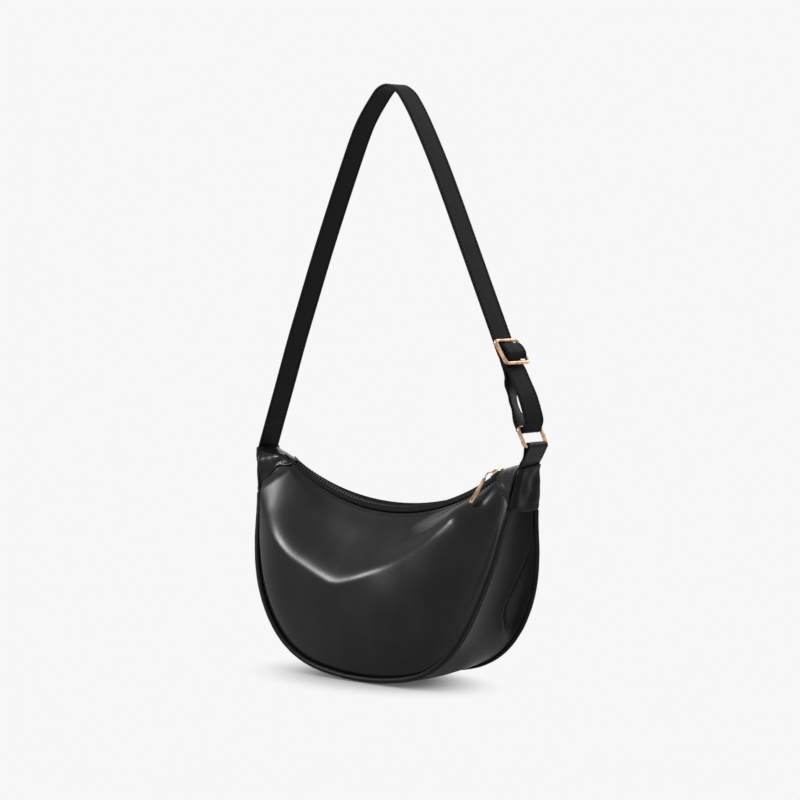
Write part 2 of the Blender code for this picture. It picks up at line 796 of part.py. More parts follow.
def add_adjuster(collection):
    top = slide_place(-SLIDE_HALF_LENGTH, SLIDE_TOP_OUT)
    low = slide_place(SLIDE_HALF_LENGTH, SLIDE_END_OUT)
    loop = bar_loop(top, low, SLIDE_WIDTH / 2, SLIDE_CORNER)
    frame = add_tube("strap_adjuster", loop, SLIDE_WIRE, gold("loop"), collection, closed=True)
    half = DEPTH * SLIDE_WIDTH / 2
    middle = (top + low) / 2
    bar = add_tube("adjuster_bar", (middle - half, middle + half), SLIDE_BAR, gold("bar"), collection)
    bpy.context.view_layer.update()
    frame = tube_as_mesh(frame, collection)
    bar = tube_as_mesh(bar, collection)
    union(frame, (bar,))
    frame.name = "strap_adjuster"
    frame.data.materials.clear()
    frame.data.materials.append(gold("strap_adjuster"))
    move_origin(frame, Matrix.Translation(middle))


def add_weave(collection):
    """The stretch of strap that rises over the adjuster's middle bar."""
    route = []
    for along, out in zip(WEAVE_ALONG_SHARES, WEAVE_OUT_SHARES):
        plane = SLIDE_TOP_OUT + (SLIDE_END_OUT - SLIDE_TOP_OUT) * (along + 1) / 2
        rise = out * (SLIDE_WIRE + STRAP_THICKNESS)
        route.append(slide_place(along * SLIDE_HALF_LENGTH, plane + rise))
    add_strip("strap_weave", route, STRAP_WIDTH, STRAP_THICKNESS, strap_leather("strap_weave"), collection)


def add_ring(collection):
    top = flat_place(RING_TOP_BAR)
    low = flat_place(RING_LOW_BAR)
    loop = bar_loop(top, low, RING_WIDTH / 2, RING_CORNER)
    ring = add_tube("strap_ring", loop, RING_WIRE, gold("strap_ring"), collection, closed=True)
    bpy.context.view_layer.update()
    ring = tube_as_mesh(ring, collection)
    ring.name = "strap_ring"
    ring.data.materials.clear()
    ring.data.materials.append(gold("strap_ring"))
    move_origin(ring, Matrix.Translation(low))


def add_strap(collection):
    """The strap in the stretches that move apart: root, foot, leg and shoulder, loop and return."""
    look = strap_leather
    over, leg = strap_route()
    whole = smooth_path([*over, *leg], STRAP_STEPS)
    length = sum((b - a).length for a, b in zip(whole, whole[1:]))
    split = round(FOOT_LENGTH / length * STRAP_STEPS)
    start = (whole[split + 1] - whole[split]).normalized() * GAP
    rest = [whole[split] + start, *whole[split + 1:]]
    root = (flat_place(ROOT_LOW), flat_place(ROOT_TOP))
    add_strip("strap_root", root, STRAP_WIDTH, STRAP_THICKNESS, look("strap_root"), collection)
    add_strip("strap_foot", whole[:split + 1], STRAP_WIDTH, STRAP_THICKNESS, look("strap_foot"), collection)
    add_strip("strap", rest, STRAP_WIDTH, STRAP_THICKNESS, look("strap"), collection)
    turn = RING_WIRE + STRAP_THICKNESS / 2 + TURN_CLEAR
    bar = flat_place(RING_TOP_BAR)
    bend = []
    for degrees in (0, -60, -120, -180):
        angle = math.radians(degrees)
        bend.append(bar + turn * Vector((math.cos(angle), 0, math.sin(angle))))
    outer = [loop_place(shares) for shares in OUTER_PLY_SHARES]
    inner = [loop_place(shares) for shares in INNER_PLY_SHARES]
    top = flat_place(LOOP_TOP)
    top += (outer[0] - top).normalized() * GAP * 2
    loop = smooth_path((top, *outer, *bend, *inner), LOOP_STEPS)
    add_strip("strap_loop", loop, STRAP_WIDTH, STRAP_THICKNESS, look("strap_loop"), collection)
    back = smooth_path([loop_place(shares) for shares in RETURN_PLY_SHARES], RETURN_STEPS)
    add_strip("strap_return", back, STRAP_WIDTH, STRAP_THICKNESS, look("strap_return"), collection)


def add_ring_tab(collection):
    """A leather tab sewn in the right corner, folded round the ring's lower bar."""
    bar = flat_place(RING_LOW_BAR)
    bend = flat_place(TAB_BEND)
    up = (bar - bend).normalized()
    out = DEPTH.cross(up)
    apart = (TAB_THICKNESS + TAB_GAP) / 2
    turn = RING_WIRE + TAB_GAP + TAB_THICKNESS / 2
    low = [flat_place(TAB_ROOT), flat_place(TAB_MOUTH)]
    inner = [p - Vector((apart, 0, 0)) for p in low] + [bend - out * apart]
    outer = [p + Vector((apart, 0, 0)) for p in low] + [bend + out * apart]
    arc = []
    for i in range(7):
        angle = math.pi * (1 - i / 6)
        arc.append(bar + out * turn * math.cos(angle) + up * turn * math.sin(angle))
    route = (*inner, *arc, *reversed(outer))
    add_strip("ring_tab", route, STRAP_WIDTH, TAB_THICKNESS, leather("ring_tab"), collection)


def build():
    clear_scene()
    bag = bpy.data.collections.new("leather_bag")
    bpy.context.scene.collection.children.link(bag)
    add_panels(bag)
    add_gusset(bag)
    add_linings(bag)
    add_pipings(bag)
    add_tapes(bag)
    add_teeth(bag)
    add_stops(bag)
    add_slider(bag)
    add_pull(bag)
    add_saddles(bag)
    add_caps(bag)
    add_adjuster(bag)
    add_weave(bag)
    add_ring(bag)
    add_strap(bag)
    add_ring_tab(bag)


build()
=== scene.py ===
"""Looks of a black leather shoulder bag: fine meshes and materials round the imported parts.

Metres, +Z up, front at -Y. The body is lofted again from the same seam, depth and mouth lines as
the solids, with its folds, hems, grain and stitches.
"""
import math

import bpy
import numpy as np
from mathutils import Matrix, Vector, noise


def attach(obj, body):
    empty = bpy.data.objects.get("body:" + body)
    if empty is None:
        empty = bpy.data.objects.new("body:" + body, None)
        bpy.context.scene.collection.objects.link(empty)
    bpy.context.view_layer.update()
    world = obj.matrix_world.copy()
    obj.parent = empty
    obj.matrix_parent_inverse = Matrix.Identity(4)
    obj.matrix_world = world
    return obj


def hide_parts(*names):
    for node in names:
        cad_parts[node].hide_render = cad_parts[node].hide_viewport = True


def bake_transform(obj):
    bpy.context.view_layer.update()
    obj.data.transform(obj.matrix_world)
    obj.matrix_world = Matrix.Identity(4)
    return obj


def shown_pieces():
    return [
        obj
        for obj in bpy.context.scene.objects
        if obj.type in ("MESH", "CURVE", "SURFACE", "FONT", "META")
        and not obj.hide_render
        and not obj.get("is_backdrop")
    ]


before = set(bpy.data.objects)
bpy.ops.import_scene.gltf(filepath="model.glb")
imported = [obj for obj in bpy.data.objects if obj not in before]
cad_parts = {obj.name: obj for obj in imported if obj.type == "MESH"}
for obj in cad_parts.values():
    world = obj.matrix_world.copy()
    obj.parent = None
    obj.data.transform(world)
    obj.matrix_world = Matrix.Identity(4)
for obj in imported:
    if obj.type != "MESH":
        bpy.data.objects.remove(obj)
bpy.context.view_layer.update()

# Camera, at the photograph's angle
CAMERA_PLACE = (1.41413, -1.68530, 0.3780)
CAMERA_TARGET = (0.004535, 0.003805, 0.24088)
CAMERA_LENS = 114.75
CAMERA_NEAR = 0.05

# Clearances
GAP = 0.0003
LINING_INSET = 0.0022

# Body seam and depth
SEAM_HALF_WIDTH = 0.1422
SEAM_TOP = 0.165
SEAM_LOW = 0.0033
SEAM_X_SHARES = (0.0, 0.16, 0.343, 0.477, 0.600, 0.702, 0.788, 0.865, 0.927, 0.962, 1.0)
SEAM_Z_SHARES = (0.0, 0.006, 0.030, 0.066, 0.128, 0.215, 0.326, 0.474, 0.660, 0.845, 1.0)
SEAM_STEPS = 400
BODY_HALF_DEPTH = 0.0423
DEPTH_HEIGHT_SHARES = (0.0, 0.24, 0.48, 0.73, 0.97, 1.15)
DEPTH_SHARES = (1.0, 1.0, 0.903, 0.674, 0.428, 0.330)

# Panels, gusset and piping
PANEL_COLUMNS = 200
PANEL_ROWS = 64
PANEL_HEIGHT = 0.14
PANEL_FADES = ((0.10, 0.12), (0.015, 0.03))
FRONT_BULGE = 0.0215
BACK_BULGE = 0.0235
BULGE_HEIGHT_POWERS = (0.85, 1.70)
BULGE_HEIGHT_TURN = (0.55, 0.85)
BULGE_WIDTH_POWERS = (1.08, 0.70)
BULGE_WIDTH_TURN = (0.05, 0.35)
CORNER_TUCK = 0.0028
CORNER_RISE = 0.55
CORNER_SHARE = 0.055
PIPING_RADIUS = 0.0028
PIPING_CORD = 0.0025
PIPING_TOP = 0.1545
PIPING_END = 0.0025
PIPING_STEPS = 300
PIPING_UNEVEN = 0.05
PIPING_THINNED = 0.35
FOOT_DROP = 0.0062
SIDE_TUCK = 0.005
UNDER_POWER = 6
GUSSET_COLUMNS = 96
GUSSET_MARGIN = 0.02
GUSSET_FADE = 0.16
GROOVE_DEPTH = 0.0030
GROOVE_INSET = 0.0034
GROOVE_WIDTH = 0.0019
EDGE_ROUND = 0.0010
EDGE_TUCK = 0.0026

# Mouth and zip
MOUTH_LEFT = 0.118
MOUTH_RIGHT = 0.1225
MOUTH_SEAM_Y = 0.0095
FRONT_ARC = (0.202, 0.006, 0.1446)
BACK_ARC = (0.250, 0.0, 0.150)
ZIP_ARC_RADIUS = 0.205
ZIP_ARC_LOW = 0.1482
TAPE_THICKNESS = 0.0006
TAPE_EDGE_Y = 0.0034
TAPE_LIFT = 0.0007
TAPE_STEPS = 240
TAPE_ROUND = 0.0003
TAPE_TUCK = 0.0008
TAPE_STITCH = 0.0022
BEVEL_ANGLE = 35

# Folds of the front panel: the ridges in x and z
FOLD_ROUND_ABOVE = 0.0085
FOLD_ROUND_BELOW = 0.0018
V_FOLD = (
    (-0.1450, 0.1690), (-0.1382, 0.1560), (-0.1280, 0.1425), (-0.1157, 0.1290), (-0.0995, 0.1150),
    (-0.0815, 0.1035), (-0.0610, 0.0945), (-0.0420, 0.0870), (-0.0259, 0.0830), (-0.0080, 0.0868),
    (0.0125, 0.0945), (0.0371, 0.1045), (0.0638, 0.1191), (0.0840, 0.1345), (0.0990, 0.1500),
    (0.1110, 0.1650),
)
SECOND_FOLD = ((0.0063, 0.1014), (0.0223, 0.1108), (0.0408, 0.1204), (0.0603, 0.1301), (0.0759, 0.1371),
               (0.0980, 0.1520))
THIRD_FOLD = ((0.0807, 0.1360), (0.0915, 0.1449), (0.1048, 0.1541), (0.1180, 0.1600))
# Each fold has its path, its heights and its reaches above at start and end, its reach below and its tapers
FRONT_FOLDS = (
    (V_FOLD, (0.0045, 0.0074), (0.018, 0.015), 0.024, 0.06, 0.10),
    (SECOND_FOLD, (0.0012, 0.0012), (0.006, 0.006), 0.006, 0.45, 0.30),
    (THIRD_FOLD, (0.0010, 0.0010), (0.005, 0.005), 0.006, 0.45, 0.45),
)
BACK_FOLD = (SECOND_FOLD, (0.0022, 0.0022), (0.012, 0.012), 0.014, 0.45, 0.40)

# Unevenness of the leather: each wave's height, scale, seed and share of its scale upwards
FRONT_WAVES = ((0.0004, 30, 3, 1), (0.0006, 13, 5, 1))
BACK_WAVES = ((0.0004, 30, 9, 1), (0.0006, 13, 12, 1))
GUSSET_WAVES = ((0.0005, 24, 21, 1),)
SADDLE_WAVES = ((0.0007, 75, 31, 1.6), (0.0004, 150, 37, 1))
CAP_WAVES = ((0.0012, 95, 41, 0.35), (0.0018, 85, 47, 1))
PIPING_WAVE = 160

# Creases of the gusset at the right: the ridge in y and z
GUSSET_RIDGE = ((0.0170, 0.1510), (0.0196, 0.1405), (0.0200, 0.1295), (0.0177, 0.1147), (0.0150, 0.1049),
                (0.0122, 0.0956), (0.0078, 0.0813), (0.0059, 0.0701), (0.0088, 0.0606), (0.0181, 0.0490),
                (0.0326, 0.0358))
CREASE_HEIGHT = 0.0022
CREASE_DIP = 3.2
CREASE_REACHES = (0.008, 0.009)
CREASE_FROM_X = (0.085, 0.11)
CREASE_FROM_Z = (0.03, 0.05)

# Corners: saddles over the mouth's ends and caps over the gusset's
SADDLE_REACH = (0.0075, 0.0)
SADDLE_LIFTS = (0.0024, -0.0004)
SADDLE_TOP_BENDS = ((0.1190, 0.1862), (0.1279, 0.1905))
SADDLE_SHOULDERS = (
    (((0.0078, 0.1824), (0.1190, 0.0097, 0.1876)), ((0.0078, 0.1768), (0.1190, 0.0097, 0.1815))),
    (((0.0067, 0.1878), (0.1279, 0.0104, 0.1872)), ((0.0067, 0.1878), (0.1279, 0.0104, 0.1872))),
)
SADDLE_OUTER = 0.1442
SADDLE_SIDE_Y = 0.0144
SADDLE_SIDE_Z = 0.1890
SADDLE_TOP = 0.1945
SADDLE_CLEAR = 0.0012
SADDLE_FULL = 0.0012
SADDLE_EDGE_SHARE = 0.008
SADDLE_INNER_SHARE = 0.004
SADDLE_SPREAD = 0.3
SADDLE_RISE = 0.993
SADDLE_FALL = 0.985
SADDLE_FADE = 0.12
SADDLE_ROWS = 36
SADDLE_COLUMNS = 64
SADDLE_RELAX = 16
SADDLE_ROUND = 0.0007
SADDLE_TUCK = 0.0006
SADDLE_END_TUCK = 0.0024
CAP_HEM = 0.1552
CAP_TOP = 0.1925
CAP_HEM_X = 0.1452
CAP_TOP_X = 0.1503
CAP_HEM_Y = 0.0187
CAP_TOP_Y = 0.0144
CAP_EDGE_LOW_X = 0.1389
CAP_EDGE_TOP_X = 0.1459
CAP_EDGE_HEIGHT_SHARES = (0.0, 0.327, 0.879, 1.0)
CAP_EDGE_SHARES = (0.0, 0.257, 0.857, 1.0)
CAP_ROUND = 0.0036
CAP_FLANK_TUCK = 0.0038
CAP_SLANT = 0.0030
CAP_DROOP = 0.0030
CAP_ROWS = 40
CAP_FADES = (0.12, 0.08)

# Strap
STRAP_WIDTH = 0.025
STRAP_THICKNESS = 0.0022
STRAP_CORNER = 0.0007
STRAP_STEPS = 56
STRAP_FINER = 8
STITCH_INSET = 0.0024
STITCH_DENT = 0.00012
STITCH_PITCH = 0.0035
STITCH_LENGTH = 0.0024
STITCH_RADIUS = 0.00028
STITCH_LIFT = 0.0001
FOOT_LENGTH = 0.028
ROOT_LOW = (-0.1448, 0.1760)
ROOT_TOP = (-0.1471, 0.1925)
STRAP_HALF_SPAN = 0.1472
STRAP_BASE = 0.1933
STRAP_TOP = 0.5110
STRAP_SHARES = (
    (-1.0, 0.0), (-0.940, 0.076), (-0.849, 0.190), (-0.759, 0.304), (-0.663, 0.417), (-0.567, 0.529),
    (-0.467, 0.640), (-0.365, 0.749), (-0.260, 0.857), (-0.196, 0.911), (-0.110, 0.963), (-0.048, 0.992),
    (0.020, 1.0), (0.088, 0.984), (0.136, 0.959), (0.211, 0.905), (0.336, 0.797), (0.446, 0.690),
)
LEG_SHARES = (0.2, 0.4, 0.6, 0.8, 0.9, 1.0)

# Adjuster, ring, loop and tab
SLIDE_WIRE = 0.0017
SLIDE_BAR = 0.0015
SLIDE_WIDTH = 0.0300
SLIDE_CORNER = 0.0024
SLIDE_MIDDLE = (0.1240, 0.2842)
SLIDE_HALF_LENGTH = 0.0108
SLIDE_TOP_OUT = 0.0033
SLIDE_END_OUT = 0.0071
WEAVE_ALONG_SHARES = (-0.66, -0.50, -0.25, 0.0, 0.25, 0.47, 0.64)
WEAVE_OUT_SHARES = (0.05, 0.60, 0.88, 0.95, 0.90, 0.62, 0.05)
RING_WIRE = 0.0017
RING_WIDTH = 0.0300
RING_CORNER = 0.0030
RING_TOP_BAR = (0.1465, 0.2242)
RING_LOW_BAR = (0.1541, 0.2092)
TURN_CLEAR = 0.0010
WIRE_STEP = 0.0015
METAL_SMOOTH = 50
TAB_THICKNESS = 0.0012
TAB_CORNER = 0.0004
TAB_GAP = 0.0004
TAB_ROOT = (0.1456, 0.1800)
TAB_MOUTH = (0.1471, 0.1925)
TAB_BEND = (0.1512, 0.2000)
LOOP_TOP = (0.1336, 0.2712)
OUTER_PLY_SHARES = ((0.791, 0.049), (0.529, 0.111), (0.278, 0.136), (0.086, 0.136))
INNER_PLY_SHARES = ((0.214, -0.150), (0.480, -0.210), (0.720, -0.165), (0.885, -0.076))
INNER_TWIST = -25
INNER_TWIST_FROM = (0.58, 0.76)
INNER_TWIST_END = 0.16
RETURN_PLY_SHARES = ((0.877, -0.074), (1.0, -0.073), (1.129, -0.090), (1.240, -0.100))

# Studio
BACKDROP = 0.93
WORLD_LIGHT = 1.0
FLOOR_GREY = 0.85
FLOOR_HALF = 6.0
FLOOR_MIDDLE = (-0.010, -0.020)
FLOOR_SHADOW = (0.100, 0.060)
FLOOR_MIRRORED = (0.30, 0.20)
FLOOR_NEAR = 0.5
FLOOR_FAR = 1.4
LAMP_TARGET = (0.0, -0.03, 0.10)
LAMPS = (
    ("key", (-0.58, -0.655, 0.48), 2.0, (0.38, 0.38), 34),
    ("back", (0.2, 0.85, 0.6), 2.2, (1.2, 1.0), 8),
)

DEPTH = Vector((0, 1, 0))
SIDES = (("front", -1), ("back", 1))
HANDS = (("left", -1), ("right", 1))


def smooth_path(points, steps):
    """A smooth curve through the points, as steps + 1 places at even distances along it."""
    points = [Vector(p) for p in points]
    ends = [2 * points[0] - points[1], *points, 2 * points[-1] - points[-2]]
    fine = [points[0]]
    pieces = 24
    for a, b, c, d in zip(ends, ends[1:], ends[2:], ends[3:]):
        for i in range(1, pieces + 1):
            t = i / pieces
            fine.append((2 * b + (c - a) * t + (2 * a - 5 * b + 4 * c - d) * t ** 2
                         + (3 * b - 3 * c + d - a) * t ** 3) / 2)
    return even_path(fine, steps)


def even_path(line, steps):
    """The line again, as steps + 1 places at even distances."""
    line = np.array([tuple(p) for p in line])
    lengths = np.concatenate([[0], np.cumsum(np.linalg.norm(np.diff(line, axis=0), axis=1))])
    targets = np.linspace(0, lengths[-1], steps + 1)
    return [Vector(p) for p in np.stack([np.interp(targets, lengths, line[:, k]) for k in range(3)], 1)]


def flat_path(points, steps):
    """The same for points in x and z, on the plane of the bag's middle."""
    return smooth_path([(x, 0, z) for x, z in points], steps)


def line_length(points):
    return sum((b - a).length for a, b in zip(points, points[1:]))


def smoothstep(low, high, value):
    t = np.clip((value - low) / (high - low), 0, 1)
    return t * t * (3 - 2 * t)


def faded(share, first, last):
    """1 in the middle of a share and 0 at its ends, over the reaches at its start and its end."""
    return smoothstep(0, first, share) * smoothstep(0, last, 1 - share)


def eased(pair, turn, share):
    """From the pair's first value to its second one, over the turn's range of the share."""
    first, second = pair
    return first + (second - first) * smoothstep(*turn, share)


# Materials

WORN_LIGHTER = 2.2


def node_adder(tree):
    """A way to add a node to a tree, with the sockets that lead to it and its values."""
    def add(kind, links=(), **values):
        node = tree.nodes.new(kind)
        for key, value in values.items():
            if hasattr(node, key):
                setattr(node, key, value)
            else:
                node.inputs[key.replace("_", " ")].default_value = value
        for socket, source in links:
            tree.links.new(source, node.inputs[socket])
        return node

    return add


def new_material(name):
    """A Principled material: itself, its tree, shader and node adder, and places on the object."""
    made = bpy.data.materials.new(name)
    made.use_nodes = True
    tree = made.node_tree
    add = node_adder(tree)
    return made, tree, tree.nodes["Principled BSDF"], add, add("ShaderNodeTexCoord").outputs["Object"]


def dress(tree, shader, tone, rough, bump, specular=None):
    """Links a shader's colour, roughness and bump, and sets its shine."""
    for name, source in (("Base Color", tone), ("Roughness", rough), ("Normal", bump.outputs["Normal"])):
        tree.links.new(source, shader.inputs[name])
    if specular is not None:
        shader.inputs["Specular IOR Level"].default_value = specular


def scaled(colour, share):
    return [share * c for c in colour]


def ramp(add, source, stops):
    """A colour ramp on a value, with its stops as pairs of place and grey or colour."""
    node = add("ShaderNodeValToRGB", [("Fac", source)])
    elements = node.color_ramp.elements
    while len(elements) < len(stops):
        elements.new(0.5)
    for element, (place, colour) in zip(elements, stops):
        element.position = place
        element.color = (*colour, 1) if hasattr(colour, "__len__") else (colour, colour, colour, 1)
    return node.outputs["Color"]


def spread(add, source, low, high):
    """A value from 0 to 1 mapped between two others."""
    return add("ShaderNodeMapRange", [("Value", source)], To_Min=low, To_Max=high).outputs["Result"]


def leather_material(name, dark, light, rough, grain, specular):
    """Fine grained leather: pebbled cells with creases between them, over slow changes of sheen."""
    made, tree, shader, add, place = new_material(name)
    broad = add("ShaderNodeTexNoise", [("Vector", place)], Scale=28.0, Detail=3.0)
    cells = add("ShaderNodeTexVoronoi", [("Vector", place)], feature="DISTANCE_TO_EDGE", Scale=900.0)
    fine = add("ShaderNodeTexNoise", [("Vector", place)], Scale=1500.0, Detail=2.0)
    pores = ramp(add, cells.outputs["Distance"], ((0.0, 0.0), (0.09, 1.0)))
    tone = ramp(add, broad.outputs["Fac"], ((0.35, dark), (0.70, light)))
    edge = add("ShaderNodeNewGeometry").outputs["Pointiness"]
    worn = ramp(add, edge, ((0.52, 0.0), (0.62, 1.0)))
    mix = add("ShaderNodeMixRGB", [("Fac", worn), ("Color1", tone)], Color2=(*scaled(light, WORN_LIGHTER), 1))
    pebble = add("ShaderNodeBump", [("Height", pores)], Strength=grain, Distance=0.00012)
    skin = add("ShaderNodeBump", [("Height", fine.outputs["Fac"]), ("Normal", pebble.outputs["Normal"])],
               Strength=grain, Distance=0.00005)
    rough = spread(add, broad.outputs["Fac"], rough - 0.05, rough + 0.07)
    dress(tree, shader, mix.outputs["Color"], rough, skin, specular)
    return made


def metal_material(name, colour):
    """Plated metal with fine polishing marks, and slow patches of painted dark reflection in its colour."""
    made, tree, shader, add, place = new_material(name)
    stretch = add("ShaderNodeMapping", [("Vector", place)], Scale=(300, 2500, 300))
    marks = add("ShaderNodeTexNoise", [("Vector", stretch.outputs["Vector"])], Scale=1.0, Detail=4.0)
    # Painted reflection: slow noise darkens the base colour to 0.55 of itself in patches, standing in for
    # dark surroundings mirrored by the metal.
    slow = add("ShaderNodeTexNoise", [("Vector", place)], Scale=180.0, Detail=2.0)
    tone = ramp(add, slow.outputs["Fac"], ((0.40, scaled(colour, 0.55)), (0.58, colour)))
    shader.inputs["Metallic"].default_value = 1.0
    bump = add("ShaderNodeBump", [("Height", marks.outputs["Fac"])], Strength=0.15, Distance=0.00002)
    dress(tree, shader, tone, spread(add, marks.outputs["Fac"], 0.14, 0.30), bump)
    return made


def cloth_material(name, colour, pitch, rough):
    """Woven cloth: two sets of fine ribs that cross, with a little unevenness."""
    made, tree, shader, add, place = new_material(name)
    scale = 2 * math.pi / pitch / 20
    warp = add("ShaderNodeTexWave", [("Vector", place)], bands_direction="X", Scale=scale, Distortion=0.6)
    weft = add("ShaderNodeTexWave", [("Vector", place)], bands_direction="Z", Scale=scale, Distortion=0.6)
    uneven = add("ShaderNodeTexNoise", [("Vector", place)], Scale=220.0, Detail=3.0)
    both = add("ShaderNodeMath", [(0, warp.outputs["Fac"]), (1, weft.outputs["Fac"])], operation="MULTIPLY")
    tone = ramp(add, uneven.outputs["Fac"], ((0.3, scaled(colour, 0.7)), (0.7, colour)))
    bump = add("ShaderNodeBump", [("Height", both.outputs["Value"])], Strength=0.5, Distance=0.0001)
    dress(tree, shader, tone, spread(add, both.outputs["Value"], rough, rough - 0.1), bump, 0.06)
    return made


def plastic_material(name, colour, rough):
    """Moulded plastic with a faint ripple."""
    made, tree, shader, add, place = new_material(name)
    slow = add("ShaderNodeTexNoise", [("Vector", place)], Scale=350.0, Detail=2.0)
    tone = ramp(add, slow.outputs["Fac"], ((0.3, scaled(colour, 0.75)), (0.7, colour)))
    bump = add("ShaderNodeBump", [("Height", slow.outputs["Fac"])], Strength=0.2, Distance=0.00005)
    dress(tree, shader, tone, spread(add, slow.outputs["Fac"], rough - 0.06, rough + 0.08), bump, 0.15)
    return made


def thread_material(name, colour):
    """Twisted sewing thread."""
    made, tree, shader, add, place = new_material(name)
    twist = add("ShaderNodeTexWave", [("Vector", place)], bands_direction="DIAGONAL", Scale=1200.0)
    tone = ramp(add, twist.outputs["Fac"], ((0.2, scaled(colour, 0.6)), (0.8, colour)))
    bump = add("ShaderNodeBump", [("Height", twist.outputs["Fac"])], Strength=0.4, Distance=0.00005)
    dress(tree, shader, tone, spread(add, twist.outputs["Fac"], 0.55, 0.42), bump, 0.10)
    return made


BODY_LEATHER = leather_material("body_leather", (0.0052, 0.0052, 0.0054), (0.0078, 0.0078, 0.0081),
                                rough=0.25, grain=0.08, specular=0.15)
# Painted shade: a darker, less shiny copy of the body leather for the gusset, the caps and the ring's tab, so
# that these sides render darker.
SHADED_SIDE_LEATHER = leather_material("shaded_side_leather", (0.0048, 0.0048, 0.0050), (0.0070, 0.0070, 0.0073),
                                rough=0.28, grain=0.08, specular=0.08)
PIPING_LEATHER = leather_material("piping_leather", (0.0050, 0.0050, 0.0052), (0.0075, 0.0075, 0.0078),
                                  rough=0.40, grain=0.08, specular=0.08)
STRAP_LEATHER = leather_material("strap_leather", (0.0034, 0.0034, 0.0036), (0.0048, 0.0048, 0.0050),
                                 rough=0.50, grain=0.20, specular=0.06)
ROSE_GOLD = metal_material("rose_gold", (0.72, 0.46, 0.30))
LINING_CLOTH = cloth_material("lining_cloth", (0.028, 0.028, 0.032), pitch=0.0006, rough=0.85)
TAPE_CLOTH = cloth_material("tape_cloth", (0.0050, 0.0050, 0.0054), pitch=0.0008, rough=0.70)
TEETH_PLASTIC = plastic_material("teeth_plastic", (0.0060, 0.0060, 0.0063), rough=0.34)
THREAD = thread_material("thread", (0.0040, 0.0040, 0.0042))


# Meshes

def new_object(name, data):
    obj = bpy.data.objects.new(name, data)
    bpy.context.scene.collection.objects.link(obj)
    return obj


def make_object(name, parts, body=None, smooth_angle=None):
    """One mesh object from parts, each with its places, its faces and its material."""
    places = []
    faces = []
    marks = []
    looks = []
    for part_places, part_faces, look in parts:
        if look not in looks:
            looks.append(look)
        start = len(places)
        places += [tuple(p) for p in part_places]
        faces += [tuple(start + i for i in face) for face in part_faces]
        marks += [looks.index(look)] * len(part_faces)
    mesh = bpy.data.meshes.new(name)
    mesh.from_pydata(places, [], faces)
    for look in looks:
        mesh.materials.append(look)
    mesh.polygons.foreach_set("material_index", marks)
    mesh.shade_smooth()
    if smooth_angle:
        mesh.set_sharp_from_angle(angle=math.radians(smooth_angle))
    obj = new_object(name, mesh)
    if body:
        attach(obj, body)
    return obj


def grid_part(grid, look, closed=False):
    """The places and faces of a grid of rows. A closed grid joins each row's ends."""
    rows, columns = grid.shape[:2]
    faces = []
    for j in range(rows - 1):
        for i in range(columns if closed else columns - 1):
            k = (i + 1) % columns
            faces.append((j * columns + i, j * columns + k, (j + 1) * columns + k, (j + 1) * columns + i))
    return grid.reshape(-1, 3), faces, look


def unit(vectors):
    return vectors / np.maximum(np.linalg.norm(vectors, axis=-1, keepdims=True), 1e-12)


def relaxed(grid, rounds):
    """The grid with its inside drawn towards its neighbours, its borders left in place."""
    grid = grid.copy()
    for _ in range(rounds):
        around = grid[:-2, 1:-1] + grid[2:, 1:-1] + grid[1:-1, :-2] + grid[1:-1, 2:]
        grid[1:-1, 1:-1] = around / 4
    return grid


def arc_places(middle, first, second, turns):
    """Places round a middle, the first direction at 0 degrees and the second one at 90."""
    return [middle + first * math.cos(math.radians(t)) + second * math.sin(math.radians(t)) for t in turns]


def grid_normals(grid):
    return unit(np.cross(np.gradient(grid, axis=1), np.gradient(grid, axis=0)))


def rolled(grid, radius, tuck, normal=None):
    """The grid with its first and last rows rolled behind its face and tucked away there."""
    normal = grid_normals(grid) if normal is None else normal
    ends = []
    for at, inner in ((0, 1), (-1, -2)):
        away = unit(grid[at] - grid[inner])
        middle = grid[at] - normal[at] * radius
        turned = arc_places(middle, normal[at] * radius, away * radius, (25, 50, 75, 90))
        ends.append([*turned, middle + away * radius - normal[at] * tuck])
    return np.array([*ends[0][::-1], *grid, *ends[1]])


def edged(grid, radius, tuck):
    """The same for the grid's first and last columns."""
    across = grid.transpose(1, 0, 2)
    normal = grid_normals(grid).transpose(1, 0, 2)
    return rolled(across, radius, tuck, normal).transpose(1, 0, 2)


def noise_field(grid, scale, seed):
    """Smooth random heights from -1 to 1 at the places of a grid."""
    flat = grid.reshape(-1, 3)
    shift = Vector((seed, 2 * seed, 3 * seed))
    values = [noise.noise(Vector(p) * scale + shift) for p in flat]
    return np.array(values).reshape(grid.shape[:2])


def uneven(grid, waves):
    """The waves' heights over a grid, added up."""
    return sum(height * noise_field(grid * (1, 1, up), scale, seed) for height, scale, seed, up in waves)


def fold_height(grid, path, heights, inside, outside, start, end):
    """Height of a fold over a grid in x and z: a ridge along the path, soft above it and sharper below.

    The height and the reach above it are given at the path's start and at its end.
    """
    line = np.array([(p.x, p.z) for p in flat_path(path, 240)])
    tangent = unit(np.gradient(line, axis=0))
    flat = grid.reshape(-1, 3)[:, (0, 2)]
    away = flat[:, None, :] - line[None]
    distance = np.linalg.norm(away, axis=2)
    near = distance.argmin(axis=1)
    picked = np.arange(len(flat))
    step = away[picked, near]
    along = tangent[near]
    across = along[:, 0] * step[:, 1] - along[:, 1] * step[:, 0]
    sign = np.sign(across)
    past = (near == 0) | (near == len(line) - 1)
    far = np.where(past, distance[picked, near], np.abs(across))
    turn = np.where(sign > 0, FOLD_ROUND_ABOVE, FOLD_ROUND_BELOW)
    soft = np.sqrt(far ** 2 + turn ** 2) - turn
    ahead = (along * step).sum(axis=1) / line_length([Vector((x, 0, z)) for x, z in line])
    share = np.clip(near / (len(line) - 1) + ahead, 0, 1)
    taper = faded(share, start, end)
    above = np.exp(-soft / (inside[0] + (inside[1] - inside[0]) * share))
    below = np.exp(-soft / outside)
    height = heights[0] + (heights[1] - heights[0]) * share
    value = height * taper * np.where(sign > 0, above, below)
    return value.reshape(grid.shape[:2])


